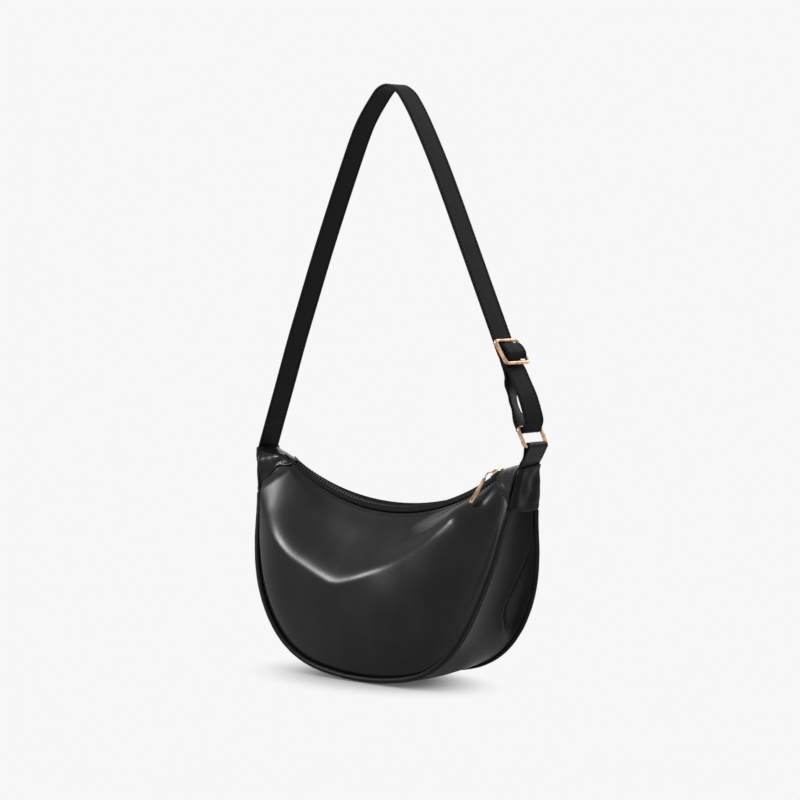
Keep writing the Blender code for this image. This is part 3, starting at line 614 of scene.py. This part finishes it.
def tube_grid(points, radius, sides, closed):
    """Rings round a line of points, carried along it without twist."""
    line = np.array([tuple(p) for p in points])
    if closed:
        tangent = unit(np.roll(line, -1, axis=0) - np.roll(line, 1, axis=0))
    else:
        tangent = unit(np.gradient(line, axis=0))
    side = np.cross(tangent[0], (0.31, 0.17, 0.93))
    radii = np.broadcast_to(np.asarray(radius, float), (len(line),))
    angles = np.linspace(0, 2 * math.pi, sides, endpoint=False)
    rings = []
    for place, ahead, size in zip(line, tangent, radii):
        side = side - ahead * np.dot(side, ahead)
        side /= np.linalg.norm(side)
        other = np.cross(ahead, side)
        rings.append([place + size * (math.cos(a) * side + math.sin(a) * other) for a in angles])
    return np.array(rings)


def tube_part(points, radius, look, closed=False, sides=18):
    rings = tube_grid(points, radius, sides, closed)
    if closed:
        rings = np.concatenate([rings, rings[:1]])
        return grid_part(rings, look, closed=True)
    places, faces, look = grid_part(rings, look, closed=True)
    last = (len(rings) - 1) * sides
    faces.append(tuple(reversed(range(sides))))
    faces.append(tuple(last + i for i in range(sides)))
    return places, faces, look


def stitch_parts(places, look, length, radius=STITCH_RADIUS):
    """Short rounded threads, each from a place, its direction and the way out of the surface."""
    stations = ((-0.5, 0.35), (-0.36, 1.0), (0.36, 1.0), (0.5, 0.35))
    points = []
    faces = []
    for place, along, out in places:
        along = along / np.linalg.norm(along)
        out = out - along * np.dot(out, along)
        out /= np.linalg.norm(out)
        side = np.cross(along, out)
        start = len(points)
        for share, size in stations:
            middle = place + along * length * share - out * radius * (0.6 if size < 1 else 0)
            for k in range(6):
                angle = math.pi * k / 3
                points.append(middle + radius * size * (math.cos(angle) * side + math.sin(angle) * out))
        for j in range(3):
            for k in range(6):
                m = (k + 1) % 6
                a = start + 6 * j
                faces.append((a + k, a + 6 + k, a + 6 + m, a + m))
        faces.append(tuple(start + k for k in range(6)))
        faces.append(tuple(start + 18 + k for k in reversed(range(6))))
    return points, faces, look


def stitches_along(line, outs, look, length=STITCH_LENGTH, lift=STITCH_LIFT):
    """Stitches at even distances along a line on a surface, whose outward directions are given."""
    line = np.asarray(line)
    lengths = np.concatenate([[0], np.cumsum(np.linalg.norm(np.diff(line, axis=0), axis=1))])
    spots = np.arange(STITCH_PITCH / 2, lengths[-1], STITCH_PITCH)
    tangent = np.gradient(line, axis=0)

    def at(values, spot):
        return np.array([np.interp(spot, lengths, values[:, k]) for k in range(3)])

    placed = []
    for spot in spots:
        out = at(outs, spot)
        placed.append((at(line, spot) + lift * out, at(tangent, spot), out))
    return stitch_parts(placed, look, length)


def sewn(grid, row, column=slice(None), length=STITCH_LENGTH):
    """Stitches along a row or a column of a sheet's grid."""
    return stitches_along(grid[row, column], grid_normals(grid)[row, column], THREAD, length)


# Body lines, as the solids have them

def seam_line():
    rise = SEAM_TOP - SEAM_LOW
    right = [(SEAM_HALF_WIDTH * x, 0, SEAM_LOW + rise * z) for x, z in zip(SEAM_X_SHARES, SEAM_Z_SHARES)]
    left = [(-x, y, z) for x, y, z in reversed(right[1:])]
    return np.array([tuple(p) for p in smooth_path(left + right, SEAM_STEPS)])


SEAM_LINE = seam_line()
DEPTH_LINE = np.array([tuple(p) for p in flat_path(list(zip(DEPTH_HEIGHT_SHARES, DEPTH_SHARES)), 120)])


def half_depth(height):
    return BODY_HALF_DEPTH * np.interp(np.asarray(height) / SEAM_TOP, DEPTH_LINE[:, 0], DEPTH_LINE[:, 2])


def seam_places(shares, side):
    """Places of the piped seam, from the left corner under the bag to the right corner."""
    steps = np.linspace(0, 1, SEAM_STEPS + 1)
    x = np.interp(shares, steps, SEAM_LINE[:, 0])
    z = np.interp(shares, steps, SEAM_LINE[:, 2])
    return np.stack([x, side * half_depth(z), z], axis=-1)


def arc_height(x, radius, middle, low):
    return low + radius - np.sqrt(radius ** 2 - (x - middle) ** 2)


def mouth_places(shares, side):
    x = MOUTH_RIGHT * shares - MOUTH_LEFT * (1 - shares)
    z = arc_height(x, *(FRONT_ARC if side < 0 else BACK_ARC))
    return np.stack([x, side * MOUTH_SEAM_Y + 0 * x, z], axis=-1)


def panel_grid(side, shares, rises):
    """The panel's outer face from just above the piping to just below the mouth's rim."""
    foot = seam_places(shares, side)
    top = mouth_places(shares, side)
    along = unit(np.gradient(foot, axis=0))
    away = top - foot
    away = unit(away - along * (away * along).sum(axis=1, keepdims=True)) * PIPING_RADIUS
    low = foot + away
    bulge = FRONT_BULGE if side < 0 else BACK_BULGE
    across = np.maximum(0, np.sin(math.pi * shares)) ** eased(BULGE_WIDTH_POWERS, BULGE_WIDTH_TURN, shares)
    power = eased(BULGE_HEIGHT_POWERS, BULGE_HEIGHT_TURN, shares)
    rows = []
    for rise in rises:
        row = low + (top - low) * rise
        row[:, 1] += side * bulge * across * np.sin(math.pi * rise ** power)
        rows.append(row)
    grid = np.array(rows)
    return grid if side < 0 else grid[:, ::-1]


def sagged(grid, side):
    """The panel's grid with the folds and the soft unevenness of hanging leather."""
    normal = grid_normals(grid)
    rows, columns = grid.shape[:2]
    if side < 0:
        height = uneven(grid, FRONT_WAVES)
        for fold in FRONT_FOLDS:
            height += fold_height(grid, *fold)
    else:
        height = uneven(grid, BACK_WAVES) + fold_height(grid * (-1, 1, 1), *BACK_FOLD)
    rise = np.linspace(0, 1, rows)[:, None]
    share = np.linspace(0, 1, columns)[None]
    calm = faded(rise, *PANEL_FADES[0]) * faded(share, *PANEL_FADES[1])
    left = share if side < 0 else 1 - share
    corner = smoothstep(CORNER_RISE, 1, rise) * (1 - smoothstep(0, CORNER_SHARE, left))
    return grid + normal * (height * calm - CORNER_TUCK * corner)[..., None]


def add_panels():
    shares = np.linspace(0, 1, PANEL_COLUMNS + 1)
    for name, side in SIDES:
        margin = EDGE_ROUND / PANEL_HEIGHT
        rises = np.linspace(margin, 1 - margin, PANEL_ROWS + 1)
        grid = sagged(panel_grid(side, shares, rises), side)
        parts = [grid_part(rolled(grid, EDGE_ROUND, EDGE_TUCK), BODY_LEATHER), sewn(grid, -2)]
        panel = make_object(name + "_leather", parts, "root")
        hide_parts(name + "_panel")
        inner = (grid - grid_normals(grid) * LINING_INSET)[4:-4:4, 8:-8:4]
        lining = make_object(name + "_lining", [grid_part(inner, LINING_CLOTH)], "root")
        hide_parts("lining_" + name)


def gusset_grid(shares, across):
    """The gusset's outer face from the front seam to the back seam, with its creases at the right."""
    edge = seam_places(shares, 1)
    tangent = unit(np.gradient(edge * (1, 0, 1), axis=0))
    out = np.cross(tangent, (0, -1, 0))
    under = np.sin(math.pi * shares) ** UNDER_POWER
    swell = FOOT_DROP * under - SIDE_TUCK * (1 - under)
    depth = edge[:, 1] - PIPING_RADIUS
    places = np.stack([np.broadcast_to(edge[:, :1], (len(shares), len(across))),
                       depth[:, None] * across[None],
                       np.broadcast_to(edge[:, 2:], (len(shares), len(across)))], axis=-1)
    hollow = swell[:, None] * (1 - across[None] ** 2)
    ridge = np.array(sorted((z, y) for y, z in GUSSET_RIDGE))
    line = np.interp(edge[:, 2], ridge[:, 0], ridge[:, 1])
    away = places[..., 1] - line[:, None]
    right = smoothstep(*CREASE_FROM_X, edge[:, 0]) * smoothstep(*CREASE_FROM_Z, edge[:, 2])
    before = np.exp(np.minimum(away, 0) / CREASE_REACHES[0])
    beyond = 1 - CREASE_DIP * (1 - np.exp(-np.maximum(away, 0) / CREASE_REACHES[1]))
    crease = CREASE_HEIGHT * np.where(away < 0, before, beyond)
    edges = smoothstep(0, GUSSET_FADE, 1 - np.abs(across))[None]
    inset = (1 + across[None]) * depth[:, None]
    groove = GROOVE_DEPTH * np.exp(-(((inset - GROOVE_INSET) / GROOVE_WIDTH) ** 2))
    hollow = hollow + crease * right[:, None] * edges - groove + uneven(places, GUSSET_WAVES) * edges
    grid = places + out[:, None, :] * hollow[..., None]
    grid[..., 2] = np.maximum(0, grid[..., 2])
    return grid


def add_gusset():
    shares = np.linspace(0, 1, PANEL_COLUMNS + 1)
    across = (1 - GUSSET_MARGIN) * np.sin(np.linspace(-math.pi / 2, math.pi / 2, GUSSET_COLUMNS + 1))
    grid = gusset_grid(shares, across)
    outer = edged(grid, EDGE_ROUND, EDGE_TUCK)
    gusset = make_object("gusset_leather", [grid_part(outer, SHADED_SIDE_LEATHER)], "root")
    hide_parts("gusset")
    inner = (grid - grid_normals(grid) * LINING_INSET)[8:-8:4, 4:-4:4]
    lining = make_object("gusset_lining", [grid_part(inner, LINING_CLOTH)], "root")
    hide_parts("lining_gusset")


def add_pipings():
    shares = np.linspace(0, 1, PIPING_STEPS + 1)
    for name, side in SIDES:
        line = seam_places(shares, side)
        line = line[line[:, 2] < PIPING_TOP + PIPING_END]
        close = smoothstep(PIPING_TOP - PIPING_END, PIPING_TOP + PIPING_END, line[:, 2])
        line[:, 1] -= side * PIPING_RADIUS * close
        swell = np.array([1 + PIPING_UNEVEN * noise.noise(Vector(p) * PIPING_WAVE) for p in line])
        swell *= 1 - PIPING_THINNED * close
        part = tube_part(line, PIPING_CORD * swell, PIPING_LEATHER)
        piping = make_object(name + "_piping", [part], "root")
        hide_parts("piping_" + name)


def panel_spot(side, share, rise):
    """A place on the panel's face and its normal there."""
    shares = share + np.array((-0.004, 0.0, 0.004))
    rises = np.clip(rise + np.array((-0.01, 0.0, 0.01)), 0.001, 0.999)
    grid = panel_grid(side, shares, rises)
    return grid[1, 1], grid_normals(grid)[1, 1]


def bent_line(points, run):
    """A place on a line of three points, the middle one at a quarter of the run."""
    return [np.interp(run, (0, 0.25, 1), values) for values in zip(*points)]


def saddle_grid(hand):
    """Leather folded over one end of the mouth, from its edge on the front panel to that on the back one."""
    mouth = MOUTH_LEFT if hand < 0 else MOUTH_RIGHT
    reach = mouth - SADDLE_REACH[hand > 0]
    inner_share = (mouth - reach) / (MOUTH_LEFT + MOUTH_RIGHT) + SADDLE_INNER_SHARE
    inner_top = arc_height(reach, ZIP_ARC_RADIUS, 0, ZIP_ARC_LOW) + SADDLE_LIFTS[hand > 0]
    tops = ((reach, inner_top), SADDLE_TOP_BENDS[hand > 0], (SADDLE_OUTER, SADDLE_TOP))
    sides = [((reach, *near), bend, (SADDLE_OUTER, SADDLE_SIDE_Y, SADDLE_SIDE_Z))
             for near, bend in SADDLE_SHOULDERS[hand > 0]]
    rows = []
    for run in np.linspace(0, 1, SADDLE_ROWS + 1):
        inset = eased((inner_share, SADDLE_EDGE_SHARE), (0, SADDLE_SPREAD), run)
        top_x, top_z = bent_line(tops, run)
        keys = []
        for side in (-1, 1):
            share = inset if hand < 0 else 1 - inset
            place, normal = panel_spot(side, share, SADDLE_RISE - SADDLE_FALL * run)
            low = place + normal * SADDLE_CLEAR
            out_x, out_y, out_z = bent_line(sides[side > 0], run)
            shoulder = np.array((hand * out_x, side * out_y, out_z))
            keys.append([low, (low + shoulder) / 2 + normal * SADDLE_FULL * run, shoulder])
        row = smooth_path((*keys[0], (hand * top_x, 0, top_z), *reversed(keys[1])), SADDLE_COLUMNS)
        row = np.array([tuple(p) for p in row])
        row[:, 0] = hand * np.minimum(np.abs(row[:, 0]), SADDLE_OUTER)
        rows.append(row)
    return relaxed(np.array(rows if hand < 0 else rows[::-1]), SADDLE_RELAX)


def add_saddles():
    for name, hand in HANDS:
        grid = saddle_grid(hand)
        normal = grid_normals(grid)
        calm = faded(np.linspace(0, 1, SADDLE_COLUMNS + 1), SADDLE_FADE, SADDLE_FADE)
        grid = grid + normal * (uneven(grid, SADDLE_WAVES) * calm[None])[..., None]
        grid = edged(rolled(grid, SADDLE_ROUND, SADDLE_END_TUCK), SADDLE_ROUND, SADDLE_TUCK)
        parts = [grid_part(grid, BODY_LEATHER)] + [sewn(grid, slice(6, -6), column) for column in (8, -9)]
        saddle = make_object(name + "_corner", parts, "root")
        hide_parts("corner_saddle_" + name)


def cap_rail(edge, wide, out, steps):
    """A half rail of the cap with its corner rounded, mirrored over the bag's middle plane."""
    turn = CAP_ROUND
    shares = np.linspace(0, 1, steps)
    rail = [(edge + (out - turn - edge) * s, wide - CAP_FLANK_TUCK * (1 - s) ** 2) for s in shares]
    for degrees in np.linspace(15, 90, 6):
        angle = math.radians(degrees)
        rail.append((out - turn + turn * math.sin(angle), wide - turn + turn * math.cos(angle)))
    rail += [(out, (wide - turn) * (1 - s)) for s in shares[1:]]
    return rail + [(x, -y) for x, y in reversed(rail[:-1])]


def add_caps():
    """Caps over the ends of the gusset, soft and slightly creased."""
    for name, hand in HANDS:
        rows = []
        for run in np.linspace(0, 1, CAP_ROWS + 1):
            z = CAP_HEM + (CAP_TOP - CAP_HEM) * run
            out = CAP_HEM_X + (CAP_TOP_X - CAP_HEM_X) * run
            lean = np.interp(run, CAP_EDGE_HEIGHT_SHARES, CAP_EDGE_SHARES)
            edge = CAP_EDGE_LOW_X + (CAP_EDGE_TOP_X - CAP_EDGE_LOW_X) * lean
            wide = CAP_HEM_Y + (CAP_TOP_Y - CAP_HEM_Y) * run
            slant = (CAP_SLANT if hand > 0 else 0) * run ** 2
            droop = (CAP_DROOP if hand > 0 else 0) * (1 - run) ** 2
            row = []
            for x, y in cap_rail(edge, wide, out, 12):
                share = y / wide
                sag = droop * (share ** 2 - 0.3 - 0.3 * share) - slant * (1 - share) / 2
                row.append((hand * x, y, z + sag))
            rows.append(row)
        grid = np.array(rows if hand < 0 else rows[::-1])
        normal = grid_normals(grid)
        runs, ends = [faded(np.linspace(0, 1, n), fade, fade) for n, fade in zip(grid.shape, CAP_FADES)]
        grid = grid + normal * (uneven(grid, CAP_WAVES) * runs[:, None] * ends)[..., None]
        grid = rolled(grid, SADDLE_ROUND, SADDLE_TUCK)
        parts = [grid_part(grid, SHADED_SIDE_LEATHER), sewn(grid, 8 if hand < 0 else -9, slice(2, -2))]
        cap = make_object(name + "_cap", parts, "root")
        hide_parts("side_cap_" + name)


# Zip

def zip_places(x, y, lift):
    """Places on the zip's arc over x, at a depth and a height above the arc."""
    angle = np.arcsin(x / ZIP_ARC_RADIUS)
    radius = ZIP_ARC_RADIUS - lift
    z = ZIP_ARC_LOW + ZIP_ARC_RADIUS - radius * np.cos(angle)
    return np.stack([radius * np.sin(angle), y + 0 * x, z], axis=-1)


def add_tapes():
    shares = np.linspace(0, 1, TAPE_STEPS + 1)
    x = (MOUTH_RIGHT - GAP) * shares - (MOUTH_LEFT - GAP) * (1 - shares)
    for name, side in SIDES:
        inner = zip_places(x, side * TAPE_EDGE_Y, TAPE_THICKNESS / 2)
        outer = mouth_places(shares, side)
        outer[:, 1] -= side * TAPE_LIFT
        outer[:, 2] += TAPE_LIFT + TAPE_THICKNESS
        rows = [outer + (inner - outer) * s for s in np.linspace(0, 1, 9)]
        if side > 0:
            rows.reverse()
        grid = rolled(np.array(rows), TAPE_ROUND, TAPE_TUCK)
        parts = [grid_part(grid, TAPE_CLOTH), sewn(grid, 6 if side < 0 else -7, length=TAPE_STITCH)]
        tape = make_object(name + "_tape", parts, "root")
        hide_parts("zip_tape_" + name)


def round_zip_parts():
    """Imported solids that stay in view, with their edges rounded and their own material."""
    for name, look, width in (
            ("zip_teeth_front", TEETH_PLASTIC, 0.00025), ("zip_teeth_back", TEETH_PLASTIC, 0.00025),
            ("zip_stop_left", ROSE_GOLD, 0.0003), ("zip_stop_right", ROSE_GOLD, 0.0003),
            ("zip_slider", ROSE_GOLD, 0.0002), ("zip_pull", ROSE_GOLD, 0.0002)):
        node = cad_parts[name]
        node.data.materials.clear()
        node.data.materials.append(look)
        bevel = node.modifiers.new("Edges", "BEVEL")
        bevel.width = width
        bevel.segments = 2
        bevel.limit_method = "ANGLE"
        bevel.angle_limit = math.radians(BEVEL_ANGLE)


# Strap and its metal parts

def flat_place(place):
    x, z = place
    return Vector((x, 0, z))


def strap_section(width, thickness, corner):
    """A flat strap's section, its flats with shallow dents along the stitch lines and its corners rounded,
    from one corner round.
    """
    section = []
    half = width / 2 - corner
    rise = thickness / 2 - corner
    for sign_y, sign_z, first in ((1, 1, 0), (-1, 1, 90), (-1, -1, 180), (1, -1, 270)):
        for degrees in (0, 30, 60, 90):
            angle = math.radians(first + degrees)
            section.append((sign_y * half + corner * math.cos(angle),
                            sign_z * rise + corner * math.sin(angle)))
        if first in (0, 180):
            for share in (0.94, 0.82, 0.5, 0.0, -0.5, -0.82, -0.94):
                dent = STITCH_DENT if abs(share) == 0.82 else 0.0
                section.append((sign_y * half * share, sign_z * (thickness / 2 - dent)))
    return section


def strap_grid(points, width, thickness, corner, twist):
    """Sections of the strap along the points, each turned about the strap's own line by its twist."""
    line = np.array([tuple(p) for p in points])
    tangent = unit(np.gradient(line, axis=0))
    out = np.cross(tangent, (0, 1, 0))
    turn = np.radians(np.broadcast_to(np.asarray(twist, float), (len(line),)))[:, None]
    side = np.array((0, 1, 0)) * np.cos(turn) - out * np.sin(turn)
    out = out * np.cos(turn) + np.array((0, 1, 0)) * np.sin(turn)
    section = strap_section(width, thickness, corner)
    rings = []
    for place, across, up in zip(line, side, out):
        rings.append([place + across * y + up * z for y, z in section])
    return np.array(rings), line, side, out


def strap_parts(points, width, thickness, look, corner=STRAP_CORNER, stitched=True, twist=0):
    rings, line, across, out = strap_grid(points, width, thickness, corner, twist)
    places, face_list, look = grid_part(rings, look, closed=True)
    count = rings.shape[1]
    last = (len(rings) - 1) * count
    face_list.append(tuple(reversed(range(count))))
    face_list.append(tuple(last + i for i in range(count)))
    parts = [(places, face_list, look)]
    if stitched:
        for side in (1, -1):
            for edge in (-1, 1):
                row = line + across * edge * (width / 2 - STITCH_INSET) + side * out * thickness / 2
                parts.append(stitches_along(row, side * out, THREAD, lift=0.0))
    return parts


def strap_route():
    rise = STRAP_TOP - STRAP_BASE
    route = [Vector((STRAP_HALF_SPAN * x, 0, STRAP_BASE + rise * z)) for x, z in STRAP_SHARES]
    leg_top = route[-1]
    middle = flat_place(SLIDE_MIDDLE)
    end = flat_place(LOOP_TOP)
    return route, [leg_top.lerp(middle, share) for share in LEG_SHARES] + [middle.lerp(end, 0.5), end]


def loop_place(shares):
    along, out = shares
    bar = flat_place(RING_TOP_BAR)
    up = flat_place(LOOP_TOP) - bar
    return bar + up * along + DEPTH.cross(up) * out


def slide_place(along, out):
    start = strap_route()[0][-1]
    middle = flat_place(SLIDE_MIDDLE)
    down = (middle - start).normalized()
    return middle + down * along + DEPTH.cross(down) * -out


def bar_loop(a, b, half, corner):
    """A closed rectangle of wire between two bars along Y, its corners round."""
    a, b = np.array(a), np.array(b)
    along = (b - a) / np.linalg.norm(b - a)
    points = []
    for end, ahead, side in ((a, -1, -1), (b, 1, -1), (b, 1, 1), (a, -1, 1)):
        forward = along * ahead * corner
        middle = end - forward + np.array((0, side * (half - corner), 0))
        arc = arc_places(middle, np.array((0, side * corner, 0)), forward, np.linspace(0, 90, 8))
        points += arc if (ahead > 0) == (side < 0) else arc[::-1]
    dense = []
    for p, q in zip(points, points[1:] + points[:1]):
        steps = max(1, int(np.linalg.norm(q - p) / WIRE_STEP))
        dense += [p + (q - p) * s / steps for s in range(steps)]
    return dense


def add_metal():
    top = slide_place(-SLIDE_HALF_LENGTH, SLIDE_TOP_OUT)
    low = slide_place(SLIDE_HALF_LENGTH, SLIDE_END_OUT)
    loop = bar_loop(top, low, SLIDE_WIDTH / 2, SLIDE_CORNER)
    half = DEPTH * SLIDE_WIDTH / 2
    middle = (top + low) / 2
    parts = [tube_part(loop, SLIDE_WIRE, ROSE_GOLD, closed=True),
             tube_part((middle - half, middle + half), SLIDE_BAR, ROSE_GOLD)]
    adjuster = make_object("adjuster", parts, "adjuster", METAL_SMOOTH)
    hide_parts("strap_adjuster")
    loop = bar_loop(flat_place(RING_TOP_BAR), flat_place(RING_LOW_BAR), RING_WIDTH / 2, RING_CORNER)
    parts = [tube_part(loop, RING_WIRE, ROSE_GOLD, closed=True)]
    ring = make_object("ring", parts, "ring", METAL_SMOOTH)
    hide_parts("strap_ring")


def add_strap():
    over, leg = strap_route()
    coarse = smooth_path([*over, *leg], STRAP_STEPS)
    split = round(FOOT_LENGTH / line_length(coarse) * STRAP_STEPS)
    whole = smooth_path([*over, *leg], STRAP_STEPS * STRAP_FINER)
    foot = whole[:split * STRAP_FINER + 1]
    rest = whole[split * STRAP_FINER:]

    def piece(name, points, node, body=None, stitched=True, twist=0):
        parts = strap_parts(points, STRAP_WIDTH, STRAP_THICKNESS, STRAP_LEATHER,
                            stitched=stitched, twist=twist)
        obj = make_object(name, parts, body)
        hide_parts(node)
        return obj

    root = even_path((flat_place(ROOT_LOW), flat_place(ROOT_TOP), whole[0]), 12)
    piece("strap_low", root, "strap_root", "root", False)
    bent = piece("strap_bend", foot, "strap_foot")
    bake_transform(bent)
    piece("strap_long", rest, "strap", "strap")
    turn = RING_WIRE + STRAP_THICKNESS / 2 + TURN_CLEAR
    bar = flat_place(RING_TOP_BAR)
    bend = arc_places(bar, flat_place((turn, 0)), flat_place((0, turn)), range(0, -181, -30))
    outer = [loop_place(shares) for shares in OUTER_PLY_SHARES]
    inner = [loop_place(shares) for shares in INNER_PLY_SHARES]
    loop = smooth_path((flat_place(LOOP_TOP), *outer, *bend, *inner), 130)
    run = np.linspace(0, 1, len(loop))
    twist = INNER_TWIST * smoothstep(*INNER_TWIST_FROM, run) * smoothstep(0, INNER_TWIST_END, 1 - run)
    looped = piece("strap_turn", loop, "strap_loop", twist=twist)
    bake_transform(looped)
    back = smooth_path([loop_place(shares) for shares in RETURN_PLY_SHARES], 32)
    returned = piece("strap_back", back, "strap_return")
    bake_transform(returned)
    route = []
    for along, out in zip(WEAVE_ALONG_SHARES, WEAVE_OUT_SHARES):
        plane = SLIDE_TOP_OUT + (SLIDE_END_OUT - SLIDE_TOP_OUT) * (along + 1) / 2
        route.append(slide_place(along * SLIDE_HALF_LENGTH, plane + out * (SLIDE_WIRE + STRAP_THICKNESS)))
    piece("strap_over_bar", smooth_path(route, 48), "strap_weave", "adjuster")


def add_ring_tab():
    bar = flat_place(RING_LOW_BAR)
    bend = flat_place(TAB_BEND)
    up = (bar - bend).normalized()
    out = DEPTH.cross(up)
    apart = (TAB_THICKNESS + TAB_GAP) / 2
    turn = RING_WIRE + TAB_GAP + TAB_THICKNESS / 2
    low = [flat_place(TAB_ROOT), flat_place(TAB_MOUTH)]
    inner = [p - Vector((apart, 0, 0)) for p in low] + [bend - out * apart]
    outer = [p + Vector((apart, 0, 0)) for p in low] + [bend + out * apart]
    arc = arc_places(bar, out * turn, up * turn, np.linspace(180, 0, 13))
    route = smooth_path((*inner, *arc, *reversed(outer)), 110)
    parts = strap_parts(route, STRAP_WIDTH, TAB_THICKNESS, SHADED_SIDE_LEATHER, TAB_CORNER, stitched=False)
    tab = make_object("tab", parts, None)
    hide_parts("ring_tab")
    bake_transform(tab)


# Floor, light and camera

def seen_rays(add):
    """1 for camera rays, 1 for mirrored and see-through rays, and 1 for all of them."""
    path = add("ShaderNodeLightPath").outputs
    bounced = add("ShaderNodeMath", [(0, path["Is Glossy Ray"]), (1, path["Is Transmission Ray"])],
                  operation="MAXIMUM").outputs[0]
    seen = add("ShaderNodeMath", [(0, path["Is Camera Ray"]), (1, bounced)], operation="MAXIMUM")
    return path["Is Camera Ray"], bounced, seen.outputs[0]


def stage_material(name, grey):
    """A pale floor under an even sky, with the object's soft shadow, that fades to the backdrop's white."""
    made, tree, shader, add, place = new_material(name)
    uneven = add("ShaderNodeTexNoise", [("Vector", place)], Scale=6.0, Detail=2.0)
    tone = ramp(add, uneven.outputs["Fac"], ((0.2, grey - 0.005), (0.8, grey)))
    tree.links.new(tone, shader.inputs["Base Color"])
    shader.inputs["Roughness"].default_value = 0.9
    shader.inputs["Specular IOR Level"].default_value = 0.0
    direct, bounced, seen = seen_rays(add)
    rest = add("ShaderNodeMath", [(0, seen)], operation="MULTIPLY")
    rest.inputs[1].default_value = BACKDROP - grey * WORLD_LIGHT
    fill = add("ShaderNodeEmission", [("Strength", rest.outputs[0])])
    lit = add("ShaderNodeAddShader", [(0, shader.outputs["BSDF"]), (1, fill.outputs["Emission"])])
    shares = []
    for size, ray in ((FLOOR_SHADOW, direct), (FLOOR_MIRRORED, bounced)):
        shrink = add("ShaderNodeMapping", [("Vector", place)], vector_type="TEXTURE",
                     Location=(*FLOOR_MIDDLE, 0), Scale=(*size, 1))
        length = add("ShaderNodeVectorMath", [(0, shrink.outputs["Vector"])], operation="LENGTH")
        far = add("ShaderNodeMapRange", [("Value", length.outputs["Value"])], interpolation_type="SMOOTHSTEP",
                  From_Min=FLOOR_NEAR, From_Max=FLOOR_FAR)
        shares.append(add("ShaderNodeMath", [(0, far.outputs["Result"]), (1, ray)], operation="MULTIPLY"))
    share = add("ShaderNodeMath", [(0, shares[0].outputs[0]), (1, shares[1].outputs[0])], operation="MAXIMUM")
    glow = add("ShaderNodeEmission", Strength=BACKDROP)
    mix = add("ShaderNodeMixShader", [("Fac", share.outputs[0]), (1, lit.outputs["Shader"]),
                                      (2, glow.outputs["Emission"])])
    tree.links.new(mix.outputs["Shader"], tree.nodes["Material Output"].inputs["Surface"])
    return made


def add_world():
    world = bpy.data.worlds.new("studio")
    bpy.context.scene.world = world
    world.use_nodes = True
    tree = world.node_tree
    back = tree.nodes["Background"]
    back.inputs["Color"].default_value = (1, 1, 1, 1)
    add = node_adder(tree)
    strength = spread(add, seen_rays(add)[2], WORLD_LIGHT, BACKDROP)
    tree.links.new(strength, back.inputs["Strength"])


def look_from(obj, place, target):
    obj.location = place
    obj.rotation_euler = (Vector(target) - Vector(place)).to_track_quat("-Z", "Y").to_euler()


def add_lamp(name, aim, distance, size, watts, lit):
    """A soft box towards the bag from a direction, which lights the bag and leaves the floor to the sky."""
    lamp = bpy.data.lights.new(name, "AREA")
    lamp.shape = "RECTANGLE"
    lamp.size, lamp.size_y = size
    lamp.energy = watts
    obj = new_object(name, lamp)
    look_from(obj, Vector(LAMP_TARGET) + Vector(aim).normalized() * distance, LAMP_TARGET)
    obj.light_linking.receiver_collection = lit


def add_stage():
    places = [(x * FLOOR_HALF, y * FLOOR_HALF, 0) for x, y in ((-1, -1), (1, -1), (1, 1), (-1, 1))]
    floor = make_object("floor", [(places, [(0, 1, 2, 3)], stage_material("floor", FLOOR_GREY))])
    floor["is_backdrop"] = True
    add_world()
    lit = bpy.data.collections.new("bag")
    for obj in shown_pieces():
        lit.objects.link(obj)
    for lamp in LAMPS:
        add_lamp(*lamp, lit)
    camera = new_object("camera", bpy.data.cameras.new("camera"))
    camera.data.lens = CAMERA_LENS
    camera.data.clip_start = CAMERA_NEAR
    look_from(camera, CAMERA_PLACE, CAMERA_TARGET)
    bpy.context.scene.camera = camera
    bpy.context.scene.view_settings.view_transform = "Standard"


add_panels()
add_gusset()
add_pipings()
add_saddles()
add_caps()
add_tapes()
round_zip_parts()
add_metal()
add_strap()
add_ring_tab()
add_stage()
